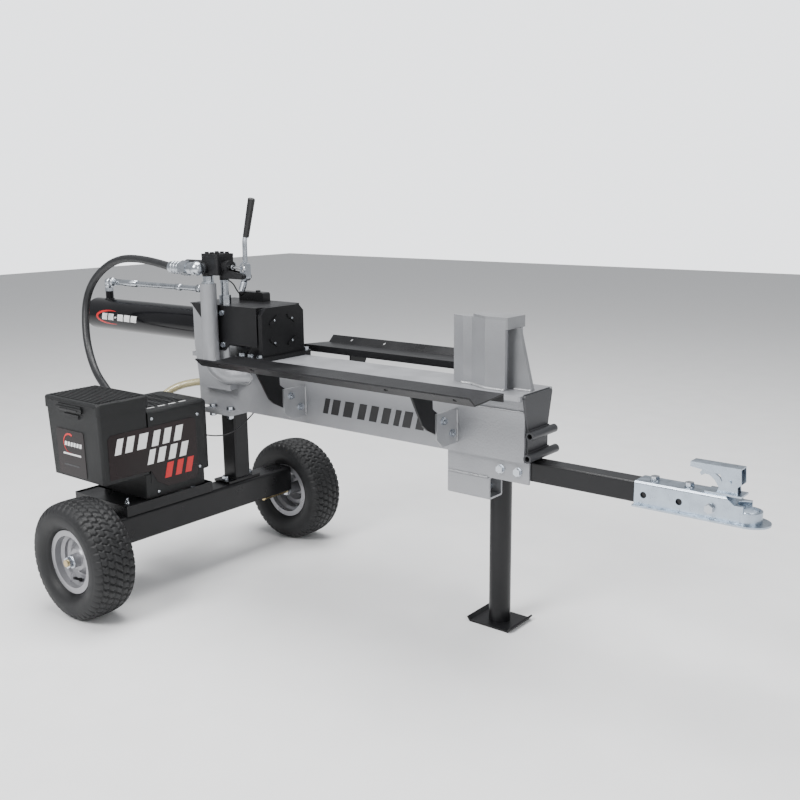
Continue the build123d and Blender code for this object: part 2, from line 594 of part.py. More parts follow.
# ---- Drawbar and tow coupler ----
DRAWBAR_REAR = 870.0
DRAWBAR_FRONT = 1505.0
SHELL_INNER = 26.0
SHELL_REAR = 1354.0
BALL_BORE_R = 25.9
SIDE_HOLE_X = (1376.0, 1459.0)

with BuildPart() as drawbar:
    square_tube(Plane(origin=(DRAWBAR_REAR, 0, DRAWBAR_Z), z_dir=(1, 0, 0)), DRAWBAR_HALF, 4,
                DRAWBAR_FRONT - DRAWBAR_REAR, 5)
    for x in DRAWBAR_BOLT_X:
        rod((x, -30, DRAWBAR_BOLT_Z), (0, 1, 0), M12_R + HOLE_SLACK, 60, Mode.SUBTRACT)
    for x in COUPLER_BOLT_X:
        rod((x, 0, 440), (0, 0, 1), M12_R + HOLE_SLACK, 60, Mode.SUBTRACT)

with BuildPart() as coupler_shell:
    # pressed channel that drops to the ball socket
    plate_xz(((SHELL_REAR, SHELL_BOTTOM), (SHELL_REAR, SHELL_TOP), (1560, SHELL_TOP), (1580, 482),
              (BALL_X, 482), (BALL_X, SHELL_BOTTOM)), -SHELL_HALF, SHELL_HALF)
    fillet(coupler_shell.edges().filter_by(Axis.X).group_by(Axis.Z)[-1], 6)
    rod((BALL_X, 0, SHELL_BOTTOM), (0, 0, 1), 31, BALL_Z - SHELL_BOTTOM)
    with Locations((BALL_X, 0, BALL_Z)):
        Sphere(31, arc_size1=0)
    # turned-out rim along the bottom
    with BuildSketch(Plane.XY.offset(SHELL_BOTTOM - 4)):
        with Locations(((SHELL_REAR + BALL_X) / 2, 0)):
            Rectangle(BALL_X - SHELL_REAR, 84)
        with Locations((TIP_X - 46, 0)):
            Ellipse(46, 42)
    extrude(amount=4)
    # hollow inside
    plate_xz(((SHELL_REAR - 1, SHELL_BOTTOM - 5), (SHELL_REAR - 1, SHELL_TOP - 3), (1558, SHELL_TOP - 3),
              (1578, 479), (BALL_X, 479), (BALL_X, SHELL_BOTTOM - 5)),
              -SHELL_INNER, SHELL_INNER, Mode.SUBTRACT)
    rod((BALL_X, 0, SHELL_BOTTOM - 5), (0, 0, 1), BALL_BORE_R, BALL_Z - SHELL_BOTTOM + 5, Mode.SUBTRACT)
    with Locations((BALL_X, 0, BALL_Z)):
        Sphere(BALL_BORE_R, mode=Mode.SUBTRACT)
    for x in SIDE_HOLE_X:
        rod((x, -50, 467), (0, 1, 0), 7.5, 100, Mode.SUBTRACT)
    for x in COUPLER_BOLT_X:
        rod((x, 0, 480), (0, 0, 1), M12_R + HOLE_SLACK, 30, Mode.SUBTRACT)
    rod((JAW_X, -50, JAW_Z), (0, 1, 0), M12_R + HOLE_SLACK, 100, Mode.SUBTRACT)

with BuildPart() as latch_bracket:
    slab((1512, 1592), (-22, 22), (SHELL_TOP, SHELL_TOP + 4))
    for side in (-1, 1):
        plate_xz(((1535, 501), (1580, 501), (1576, 536), (1550, 536)), side * 8, side * 12)
    # hooked trigger plate
    plate_xz(((1540, 501), (1556, 501), (1536, 530), (1516, 545), (1500, 544), (1492, 534), (1496, 528),
              (1504, 533), (1514, 532), (1526, 522)), -3, 3)
    rod((LATCH_X, -20, LATCH_Z), (0, 1, 0), 4, 40)

with BuildPart() as coupler_latch:
    latch_side = ((1475, 556), (1586, 556), (1588, 524), (1576, 513), (1552, 513), (1542, 540), (1475, 548))
    for side in (-1, 1):
        plate_xz(latch_side, side * 13, side * 16)
    slab((1475, 1586), (-16, 16), (556, 559))
    rod((LATCH_X, -20, LATCH_Z), (0, 1, 0), 4 + RUN, 40, Mode.SUBTRACT)

with BuildPart() as coupler_jaw:
    plate_xz(((1519, 456), (1545, 452), (1569, 446), (1574, 450), (1571, 458), (1560, 470), (1540, 478),
              (1521, 476)), -9, 9)
    rod((JAW_X, -10, JAW_Z), (0, 1, 0), M12_R + RUN, 20, Mode.SUBTRACT)

# ---- Wheels ----
RIM_HALF = 42.5
RIM_LIP_R = 88.6
BEAD_R = 76.0


def turned(points, centre, outward):
    """Revolve a section given as (outboard offset, radius) about a wheel's axle line."""
    plane = Plane(origin=(0, centre, WHEEL_R), x_dir=(0, outward, 0), z_dir=(outward, 0, 0))
    with BuildSketch(plane) as section:
        with BuildLine():
            Polyline(*points, close=True)
        make_face()
    revolve(section.sketch, axis=Axis((0, centre, WHEEL_R), (0, 1, 0)), revolution_arc=360)


def tyre(centre, outward):
    """Hollow tyre with a rounded tread, plus its rubber valve stem."""
    half = WHEEL_WIDTH / 2
    outside = ((39.2, BEAD_R + 0.2), (39.2, 89.5), (50, 96), (60, 108), (half, 124), (61, 142), (54, 155),
               (42, 161.5), (22, 164.3))
    inside = ((0, 152), (30, 150), (46, 142), (51, 124), (46, 108), (31, 98), (31, BEAD_R + 0.2))
    right = list(outside) + [(0, WHEEL_R)]
    left = [(-a, r) for a, r in reversed(outside)]
    inner_left = [(-a, r) for a, r in reversed(inside)]
    section = right + left + inner_left + list(inside[1:])
    turned(section, centre, outward)
    rod((0, centre + outward * 12, WHEEL_R - 62), (0, outward * 0.8, 0.6), 4, 22)


def rim(centre, outward):
    """Dished steel rim with rolled lips, a stepped disc and a tubular hub."""
    barrel = ((-RIM_HALF, RIM_LIP_R), (-RIM_HALF, BEAD_R - 3), (-24, BEAD_R - 3), (-18, BEAD_R - 12),
              (18, BEAD_R - 12), (24, BEAD_R - 3), (RIM_HALF, BEAD_R - 3), (RIM_HALF, RIM_LIP_R),
              (RIM_HALF - 3, RIM_LIP_R), (RIM_HALF - 3, BEAD_R), (22, BEAD_R), (16, BEAD_R - 9),
              (-16, BEAD_R - 9), (-22, BEAD_R), (-RIM_HALF + 3, BEAD_R), (-RIM_HALF + 3, RIM_LIP_R))
    turned(barrel, centre, outward)
    disc = ((22, 18), (22, 30), (12, 40), (4, 46), (4, 55), (10, BEAD_R - 11), (7, BEAD_R - 11), (1, 57),
            (1, 44), (9, 38), (19, 28), (19, 18))
    turned(disc, centre, outward)
    hub = ((-HUB_HALF, SPINDLE_R + RUN), (-HUB_HALF, 19), (HUB_HALF, 19), (HUB_HALF, SPINDLE_R + RUN))
    turned(hub, centre, outward)
    rod((0, centre + outward * 6, WHEEL_R - 64), (0, outward * 0.8, 0.6), 4.2, 40, Mode.SUBTRACT)


with BuildPart() as near_tyre:
    tyre(NEAR_WHEEL_Y, -1)

with BuildPart() as near_rim:
    rim(NEAR_WHEEL_Y, -1)

with BuildPart() as far_tyre:
    tyre(FAR_WHEEL_Y, 1)

with BuildPart() as far_rim:
    rim(FAR_WHEEL_Y, 1)

# ---- Control valve, spool and lever ----
VALVE_X = (18.0, 88.0)
VALVE_YS = (-122.0, -56.0)
VALVE_ZS = (906.0, 967.0)
SPOOL_R = 7.0
ELBOW_Y = -150.0
INLET_X = 31.0
INLET_Z = 926.0
WORK_PORT_X = 32.0
CAP_LENGTH = 100.0
EAR_INNER = 10.0
EAR_OUTER = 15.0
BALL_END_R = 8.0

with BuildPart() as valve_body:
    slab(VALVE_X, VALVE_YS, VALVE_ZS)
    fillet(valve_body.edges().filter_by(Axis.Z), 6)
    slab((VALVE_X[0] - 4, VALVE_X[1] + 4), (VALVE_YS[0] + 6, VALVE_YS[1] - 6), (VALVE_ZS[1] - 9, VALVE_ZS[1]))
    for x in (30, 52, 74):
        for y in (-108, -70):
            hexagon((x, y, VALVE_ZS[1]), (0, 0, 1), 11, 5)
    # round bosses for the two lower ports and the inlet
    rod((NIPPLE_X, NIPPLE_Y, VALVE_ZS[0] - 18), (0, 0, 1), 14, 30)
    rod((RISER_X, RISER_Y, VALVE_ZS[0] - 4), (0, 0, 1), 15, 10)
    rod((INLET_X, VALVE_YS[0] - 8, INLET_Z), (0, 1, 0), 18, 20)
    rod((VALVE_X[0] - 1, VALVE_Y, SPOOL_Z), (1, 0, 0), SPOOL_R + RUN, 90, Mode.SUBTRACT)

with BuildPart() as valve_end_caps:
    rod((VALVE_X[0], VALVE_Y, SPOOL_Z), (-1, 0, 0), 21, 14)
    rod((VALVE_X[0] - 14, VALVE_Y, SPOOL_Z), (-1, 0, 0), 17, CAP_LENGTH - 14)
    rod((VALVE_X[0], VALVE_Y, SPOOL_Z), (-1, 0, 0), SPOOL_R + 1, CAP_LENGTH - 8, Mode.SUBTRACT)
    # cast bracket at the lever end, with two ears for the fulcrum pin
    rod((VALVE_X[1], VALVE_Y, SPOOL_Z), (1, 0, 0), 19, 22)
    rod((VALVE_X[1] - 1, VALVE_Y, SPOOL_Z), (1, 0, 0), SPOOL_R + 1, 40, Mode.SUBTRACT)
    for side in (-1, 1):
        plate_xz(((VALVE_X[1], 897), (LEVER_X + 2, 897), (LEVER_X + 9, 901), (LEVER_X + 9, 909),
                  (LEVER_X + 2, 913), (VALVE_X[1] + 22, 920), (VALVE_X[1], 920)),
                 VALVE_Y + side * EAR_INNER, VALVE_Y + side * EAR_OUTER)
    rod((LEVER_X, VALVE_Y - EAR_OUTER - 3, LEVER_PIVOT_Z), (0, 1, 0), 4, 2 * (EAR_OUTER + 3))

with BuildPart() as valve_spool:
    rod((-55, VALVE_Y, SPOOL_Z), (1, 0, 0), SPOOL_R, VALVE_X[1] + 30 + 55)
    rod((100, VALVE_Y, SPOOL_Z), (1, 0, 0), 5, LEVER_X - 100)
    with Locations((LEVER_X, VALVE_Y, SPOOL_Z)):
        Sphere(BALL_END_R)

LEVER_ROD_R = 7.0
GRIP_BOTTOM = Vector(178, VALVE_Y, 1017)
GRIP_TOP = Vector(208, VALVE_Y, 1124)
grip_dir = (GRIP_TOP - GRIP_BOTTOM).normalized()

with BuildPart() as lever:
    # forked hub that swings on the fulcrum pin and straddles the spool's ball end
    slab((LEVER_X - 13, LEVER_X + 13), (VALVE_Y - 9, VALVE_Y + 9), (893, 945))
    fillet(lever.edges().filter_by(Axis.Y), 11)
    slab((LEVER_X - BALL_END_R - GAP, LEVER_X + BALL_END_R + GAP), (VALVE_Y - 20, VALVE_Y + 20), (918, 940),
         Mode.SUBTRACT)
    slab((LEVER_X - 20, LEVER_X), (VALVE_Y - 6, VALVE_Y + 6), (918, 940), Mode.SUBTRACT)
    rod((LEVER_X, VALVE_Y - 20, LEVER_PIVOT_Z), (0, 1, 0), 4 + RUN, 40, Mode.SUBTRACT)
    # lower stub that works the switch
    stub_dir = Vector(-18, 0, -38).normalized()
    rod((LEVER_X - 5, VALVE_Y, 893), tuple(stub_dir), 8.5, 8)
    rod((LEVER_X - 6.5, VALVE_Y, 889), tuple(stub_dir), 9.5, 26)
    # bent rod up to the grip
    with BuildLine() as lever_line:
        FilletPolyline((LEVER_X + 1, VALVE_Y, 941), (LEVER_X + 2, VALVE_Y, 1005),
                       tuple(GRIP_TOP - grip_dir * 4),
                       radius=40)
    with BuildSketch(Plane(origin=(LEVER_X + 1, VALVE_Y, 941), z_dir=(1, 0, 64))):
        Circle(LEVER_ROD_R)
    sweep(path=lever_line.wires()[0])

with BuildPart() as lever_grip:
    with BuildSketch(Plane(origin=tuple(GRIP_BOTTOM), z_dir=tuple(grip_dir))):
        Circle(9)
    with BuildSketch(Plane(origin=tuple(GRIP_TOP), z_dir=tuple(grip_dir))):
        Circle(10.5)
    loft()
    fillet(lever_grip.edges().filter_by(GeomType.CIRCLE).sort_by(Axis.Z)[-1], 4)
    add(lever.part, mode=Mode.SUBTRACT)

# ---- Rigid pipework and fittings ----
HOSE_R = 12.0
TUBE_R = 9.0
TUBE_Z = 847.0
PUMP_X = -226.0
PRESSURE_Y = -245.0
SUCTION_PORT_Y = -178.0
PUMP_TOP = 330.0
PRESSURE_END_Z = 372.0
SUCTION_END_Z = 366.0
SUCTION_R = 12.0
CROSSOVER_X = -85.0

with BuildPart() as rigid_tube:
    with BuildLine() as tube_line:
        FilletPolyline((PORT_X, 0, PORT_BOSS_TOP + 12), (PORT_X, 0, TUBE_Z), (CROSSOVER_X, 0, TUBE_Z),
                       (CROSSOVER_X, 0, SPOOL_Z), (WORK_PORT_X, 0, SPOOL_Z),
                       (WORK_PORT_X, VALVE_YS[1] + 14, SPOOL_Z), radius=19)
    with BuildSketch(Plane(origin=(PORT_X, 0, PORT_BOSS_TOP + 12), z_dir=(0, 0, 1))):
        Circle(TUBE_R)
        Circle(TUBE_R - 2, mode=Mode.SUBTRACT)
    sweep(path=tube_line.wires()[0])

with BuildPart() as hydraulic_fittings:
    # adapter between riser and valve
    rod((RISER_X, RISER_Y, RISER_TOP - 12), (0, 0, 1), 8, 14)
    rod((RISER_X, RISER_Y, RISER_TOP), (0, 0, 1), 18, 6)
    hexagon((RISER_X, RISER_Y, RISER_TOP + 6), (0, 0, 1), 24, VALVE_ZS[0] - 4 - RISER_TOP - 6)
    # nipple between valve and cylinder head
    rod((NIPPLE_X, NIPPLE_Y, 811), (0, 0, 1), 10, 10)
    rod((NIPPLE_X, NIPPLE_Y, GUARD_TOP), (0, 0, 1), 11.5, VALVE_ZS[0] - 18 - GUARD_TOP)
    hexagon((NIPPLE_X, NIPPLE_Y, GUARD_TOP), (0, 0, 1), 31, 27)
    hexagon((NIPPLE_X, NIPPLE_Y, VALVE_ZS[0] - 28), (0, 0, 1), 22, 10)
    # nut at each end of the rigid tube
    for seat, axis, length in (((PORT_X, 0, PORT_BOSS_TOP), (0, 0, 1), 12),
                               ((WORK_PORT_X, VALVE_YS[1], SPOOL_Z), (0, 1, 0), 14)):
        hexagon(seat, axis, 24, length)
    # inlet elbow with swivel nut and hose ferrule
    rod((INLET_X, VALVE_YS[0] - 8, INLET_Z), (0, -1, 0), 14, 10)
    hexagon((INLET_X, VALVE_YS[0] - 18, INLET_Z), (0, -1, 0), 28, 12)
    with Locations((INLET_X, ELBOW_Y, INLET_Z)):
        Sphere(21)
    rod((INLET_X, ELBOW_Y, INLET_Z), (-1, 0, 0), 18, 40)
    hexagon((0, ELBOW_Y, INLET_Z), (-1, 0, 0), 38, 32)
    rod((-32, ELBOW_Y, INLET_Z), (-1, 0, 0), 17.5, 50)
    # fittings on the pump
    hexagon((PUMP_X, PRESSURE_Y, PUMP_TOP), (0, 0, 1), 27, 14)
    rod((PUMP_X, PRESSURE_Y, PUMP_TOP + 14), (0, 0, 1), 15, PRESSURE_END_Z - PUMP_TOP - 14)
    hexagon((PUMP_X, SUCTION_PORT_Y, PUMP_TOP), (0, 0, 1), 24, 12)
    rod((PUMP_X, SUCTION_PORT_Y, PUMP_TOP + 12), (0, 0, 1), SUCTION_BARB_R, SUCTION_END_Z - PUMP_TOP - 12)
    # barbed outlet at the back of the beam
    rod((BEAM_REAR + TANK_WALL, SUCTION_Y, SUCTION_Z), (-1, 0, 0), SUCTION_BARB_R, 30)
    hexagon((BEAM_REAR, SUCTION_Y, SUCTION_Z), (-1, 0, 0), 24, 8)

# ---- Hoses and wires ----
HOSE_POINTS = ((-82, -150, 926), (-260, -122, 948), (-432, -115, 932), (-552, -130, 835), (-532, -162, 690),
               (-445, -196, 585), (-330, -228, 535), (-262, -241, 497), (-226, -245, 437),
               (-226, -245, 372))
SUCTION_POINTS = ((-122, -15, 556), (-196, -46, 548), (-238, -108, 502), (-236, -160, 442),
                  (-226, -178, 366))
POST_WIRE_POINTS = ((8, -129.5, 424), (12, -70, 404), (70, -37, 440), (118, -24, 494.5))
SWITCH_WIRE_POINTS = ((54, -53, 887), (34, -16, 876), (8, 22, 846), (2, 43.5, 830))
HOSE_LAY = 0.45                  # share of the shorter run that each bend takes


def bend_radii(points):
    """Radius of each tangent arc along a route."""
    radii = []
    for before, at, after in zip(points, points[1:], points[2:]):
        arrive = Vector(*at) - Vector(*before)
        leave = Vector(*after) - Vector(*at)
        half_turn = math.radians(arrive.get_angle(leave)) / 2
        radii.append(HOSE_LAY * min(arrive.length, leave.length) / math.tan(half_turn))
    return radii


def report_route(name, points, radius, part, length):
    """Print a route's bend radii and compare the tube's volume with section times length."""
    rounded = [round(r) for r in bend_radii(points)]
    print(f"{name}: radii {rounded}, length {length:.0f}, "
          f"volume ratio {part.volume / (math.pi * radius ** 2 * length):.4f}")


with BuildPart() as main_hose:
    with BuildLine() as hose_line:
        FilletPolyline(*HOSE_POINTS, radius=bend_radii(HOSE_POINTS))
    with BuildSketch(Plane(origin=HOSE_POINTS[0], z_dir=Vector(*HOSE_POINTS[1]) - Vector(*HOSE_POINTS[0]))):
        Circle(HOSE_R)
    sweep(path=hose_line.wires()[0])
report_route("main_hose", HOSE_POINTS, HOSE_R, main_hose.part, hose_line.wires()[0].length)

with BuildPart() as suction_hose:
    with BuildLine() as suction_line:
        FilletPolyline(*SUCTION_POINTS, radius=bend_radii(SUCTION_POINTS))
    start_dir = Vector(*SUCTION_POINTS[1]) - Vector(*SUCTION_POINTS[0])
    with BuildSketch(Plane(origin=SUCTION_POINTS[0], z_dir=start_dir)):
        Circle(SUCTION_R)
    sweep(path=suction_line.wires()[0])
report_route("suction_hose", SUCTION_POINTS, SUCTION_R, suction_hose.part, suction_line.wires()[0].length)

with BuildPart() as hose_clamps:
    pipe((-110, SUCTION_Y, SUCTION_Z), (-1, 0, 0), 15, 3, 12)
    pipe((PUMP_X, SUCTION_PORT_Y, SUCTION_END_Z - 14), (0, 0, 1), 15, 3, 12)

WIRE_R = 2.0
wires = []
for wire_points in (POST_WIRE_POINTS, SWITCH_WIRE_POINTS):
    with BuildPart() as wire:
        with BuildLine() as wire_line:
            FilletPolyline(*wire_points, radius=bend_radii(wire_points))
        wire_dir = Vector(*wire_points[1]) - Vector(*wire_points[0])
        with BuildSketch(Plane(origin=wire_points[0], z_dir=wire_dir)):
            Circle(WIRE_R)
        sweep(path=wire_line.wires()[0])
    report_route("wire", wire_points, WIRE_R, wire.part, wire_line.wires()[0].length)
    wires.append(wire.part)

with BuildPart() as switch_wires:
    for strand in wires:
        add(strand)

# ---- Power unit ----
UNIT_X = (-210.0, 40.0)
UNIT_Y = (-450.0, -137.0)
UNIT_RIM = 285.0
HOUSING_REAR = -190.0
HOUSING_TOP = 540.0
BOX_NEAR = -512.0
BOX_FAR = -353.0
BOX_REAR = -220.0
BOX_BOTTOM = 358.0
BOX_WALL = 4.0
BOX_TAPER = 10.0

with BuildPart() as unit_tray:
    slab(UNIT_X, UNIT_Y, (AXLE_TOP, UNIT_RIM))
    fillet(unit_tray.edges().filter_by(Axis.Z), 6)
    slab((UNIT_X[0] + 3, UNIT_X[1] - 3), (UNIT_Y[0] + 3, UNIT_Y[1] - 3),
         (AXLE_TOP + UNIT_FLOOR, UNIT_RIM + 1),
         Mode.SUBTRACT)
    for x, y in TRAY_BASE_BOLTS:
        rod((x, y, AXLE_TOP - 1), (0, 0, 1), M12_R + HOLE_SLACK, 10, Mode.SUBTRACT)

with BuildPart() as motor_housing:
    slab((HOUSING_REAR, BOX_FACE_X), (-352.5, -129), (330, HOUSING_TOP))
    fillet(motor_housing.edges().filter_by(Axis.Z).group_by(Axis.Y)[-1], 26)
    fillet(motor_housing.edges().group_by(Axis.Z)[-1].sort_by(Axis.Y)[1:], 14)
    # narrower skirt that stands in the tray
    slab((HOUSING_REAR + 14, BOX_FACE_X - 1), (-352.5, -160), (AXLE_TOP + 30.2, 345))
    slab((HOUSING_REAR + 14, BOX_FACE_X - 1), (-371, -352.5), (AXLE_TOP + 30.2, BOX_BOTTOM - 2))
    # hollow inside, open underneath
    slab((HOUSING_REAR + 20, BOX_FACE_X - 6), (-347, -166), (AXLE_TOP + 29, HOUSING_TOP - 18), Mode.SUBTRACT)
    # cooling slits in the top
    for row_y in (-318, -280, -242, -204):
        for x in range(-150, 0, 16):
            slab((x, x + 8), (row_y - 14, row_y + 14), (HOUSING_TOP - 5, HOUSING_TOP + 1), Mode.SUBTRACT)

with BuildPart() as pump:
    slab((HOUSING_REAR - 62, HOUSING_REAR), (-285, -150), (292, PUMP_TOP))
    fillet(pump.edges().filter_by(Axis.Z).group_by(Axis.X)[0], 12)

with BuildPart() as battery_box:
    with BuildSketch(Plane.XY.offset(BOX_BOTTOM)):
        with Locations(((BOX_REAR + BOX_TAPER + BOX_FACE_X) / 2, (BOX_NEAR + 4 + BOX_FAR) / 2)):
            RectangleRounded(BOX_FACE_X - BOX_REAR - BOX_TAPER, BOX_FAR - BOX_NEAR - 4, 9)
    with BuildSketch(Plane.XY.offset(LID_HINGE_Z)):
        with Locations(((BOX_REAR + BOX_FACE_X) / 2, (BOX_NEAR + BOX_FAR) / 2)):
            RectangleRounded(BOX_FACE_X - BOX_REAR, BOX_FAR - BOX_NEAR, 9)
    loft()
    slab((BOX_REAR + 32, BOX_FACE_X - BOX_WALL - 4), (BOX_NEAR + 16, BOX_FAR - BOX_WALL - 2),
         (BOX_BOTTOM + 5, LID_HINGE_Z + 1), Mode.SUBTRACT)
    # catch for the lid's latch
    slab((-130, -60), (BOX_NEAR - 3, BOX_NEAR + 5), (534, 545))

with BuildPart() as battery_lid:
    slab((BOX_REAR - 3, BOX_FACE_X + 3), (BOX_NEAR - 4, LID_HINGE_Y - 1), (LID_HINGE_Z + GAP, 586))
    fillet(battery_lid.edges().filter_by(Axis.Z), 10)
    fillet(battery_lid.edges().group_by(Axis.Z)[-1], 7)
    slab((BOX_REAR + 8, BOX_FACE_X - 8), (BOX_NEAR + 7, BOX_FAR - 8), (LID_HINGE_Z - 1, 579), Mode.SUBTRACT)
    # raised ribs along the top
    for y in range(-500, -355, 12):
        slab((BOX_REAR + 10, BOX_FACE_X - 10), (y - 3, y + 3), (585, 588))
    # latch tongue over the box's front
    slab((-150, -40), (BOX_NEAR - 8, BOX_NEAR - 4 + 3), (LID_HINGE_Z + GAP, 572))

with BuildPart() as battery_pack:
    slab((BOX_REAR + 40, BOX_FACE_X - 20), (BOX_NEAR + 24, BOX_FAR - 14), (BOX_BOTTOM + 5, 528))
    fillet(battery_pack.edges().filter_by(Axis.Z), 8)
    with BuildSketch(Plane.XY.offset(528)) as handle:
        with Locations(((BOX_REAR + BOX_FACE_X) / 2 + 10, (BOX_NEAR + BOX_FAR) / 2)):
            SlotOverall(120, 26)
            SlotOverall(100, 12, mode=Mode.SUBTRACT)
    extrude(handle.sketch, amount=20)

# ---- Export ----
SUB_PARTS = {
    "axle_tube": axle_tube, "axle_spindles": axle_spindles, "wheel_nuts": wheel_nuts, "post": post,
    "post_head_plate": post_head_plate, "m12_bolts": m12_bolts, "beam_flange": beam_flange,
    "beam_tank": beam_tank,
    "beam_side_plates": beam_side_plates, "riser_pipe": riser_pipe,
    "cylinder_side_plates": cylinder_side_plates, "cylinder_barrel": cylinder_barrel,
    "cylinder_gland": cylinder_gland, "piston_rod": piston_rod, "pusher_plate": pusher_plate,
    "pusher_slide": pusher_slide, "pusher_bolts": pusher_bolts, "guard_cover": guard_cover,
    "switch_box": switch_box, "near_tray": near_tray, "far_tray": far_tray, "tray_gussets": tray_gussets,
    "tray_brackets": tray_brackets, "tray_bolts": tray_bolts, "wedge_knife": wedge_knife,
    "wedge_wings": wedge_wings, "wedge_backing": wedge_backing, "end_plate": end_plate,
    "socket_tubes": socket_tubes, "drawbar_plates": drawbar_plates, "jack_socket": jack_socket,
    "jack_pivot": jack_pivot, "jack_leg": jack_leg, "jack_foot": jack_foot, "drawbar": drawbar,
    "coupler_shell": coupler_shell, "latch_bracket": latch_bracket,
    "coupler_latch": coupler_latch, "coupler_jaw": coupler_jaw, "near_tyre": near_tyre,
    "near_rim": near_rim, "far_tyre": far_tyre, "far_rim": far_rim, "valve_body": valve_body,
    "valve_end_caps": valve_end_caps, "valve_spool": valve_spool, "lever": lever,
    "lever_grip": lever_grip, "rigid_tube": rigid_tube, "hydraulic_fittings": hydraulic_fittings,
    "main_hose": main_hose, "suction_hose": suction_hose, "hose_clamps": hose_clamps,
    "switch_wires": switch_wires, "unit_tray": unit_tray, "motor_housing": motor_housing, "pump": pump,
    "battery_box": battery_box, "battery_lid": battery_lid, "battery_pack": battery_pack,
}
for sub_part_name, sub_part in SUB_PARTS.items():
    save(sub_part.part, sub_part_name)
print(len(SUB_PARTS), "sub-parts")
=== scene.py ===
import bpy
import math
import random
from mathutils import Matrix, Vector


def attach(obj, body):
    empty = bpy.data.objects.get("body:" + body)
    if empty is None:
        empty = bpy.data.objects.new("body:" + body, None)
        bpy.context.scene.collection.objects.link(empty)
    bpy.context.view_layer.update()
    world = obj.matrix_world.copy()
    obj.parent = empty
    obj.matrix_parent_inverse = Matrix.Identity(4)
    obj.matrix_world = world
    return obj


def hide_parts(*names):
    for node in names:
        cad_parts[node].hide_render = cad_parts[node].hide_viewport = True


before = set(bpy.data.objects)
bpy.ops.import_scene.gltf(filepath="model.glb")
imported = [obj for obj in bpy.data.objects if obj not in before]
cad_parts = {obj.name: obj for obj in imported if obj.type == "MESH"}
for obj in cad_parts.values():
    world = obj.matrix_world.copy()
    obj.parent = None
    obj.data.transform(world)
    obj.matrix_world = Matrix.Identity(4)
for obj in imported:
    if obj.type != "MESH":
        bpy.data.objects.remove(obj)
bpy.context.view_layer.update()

# Towable log splitter. Positions are written in millimetres about the axle line, the beam's centre
# plane and the ground, as in the CAD, and `at` turns them into the shared frame in metres.
SHIFT_X = -476.0
SHIFT_Y = 160.5
FRAME = "frame"


def at(x, y, z):
    """Point in the shared frame, in metres."""
    return Vector(((x + SHIFT_X) / 1000, (y + SHIFT_Y) / 1000, z / 1000))


# ---- Camera ----
CAMERA_AT = at(2256.6, -2003.8, 1133.3)
AZIMUTH = math.radians(38.576)
PITCH = math.radians(11.963)
ROLL = math.radians(-0.558)
LENS = 43.91


def add_camera():
    """Camera at the studio viewing angle, turned by azimuth, pitch and a slight roll."""
    back = Vector((math.sin(AZIMUTH) * math.cos(PITCH), -math.cos(AZIMUTH) * math.cos(PITCH),
                   math.sin(PITCH)))
    right = Vector((math.cos(AZIMUTH), math.sin(AZIMUTH), 0))
    up = back.cross(right)
    rolled_right = math.cos(ROLL) * right + math.sin(ROLL) * up
    rolled_up = math.cos(ROLL) * up - math.sin(ROLL) * right
    data = bpy.data.cameras.new("studio_camera")
    data.lens = LENS
    data.sensor_width = 36
    camera = bpy.data.objects.new("studio_camera", data)
    bpy.context.collection.objects.link(camera)
    axes = Matrix((rolled_right, rolled_up, back)).transposed()
    camera.matrix_world = Matrix.Translation(CAMERA_AT) @ axes.to_4x4()
    bpy.context.scene.camera = camera


# ---- Materials ----
def node_input(node, name, value):
    """Set one socket of a node."""
    node.inputs[name].default_value = value


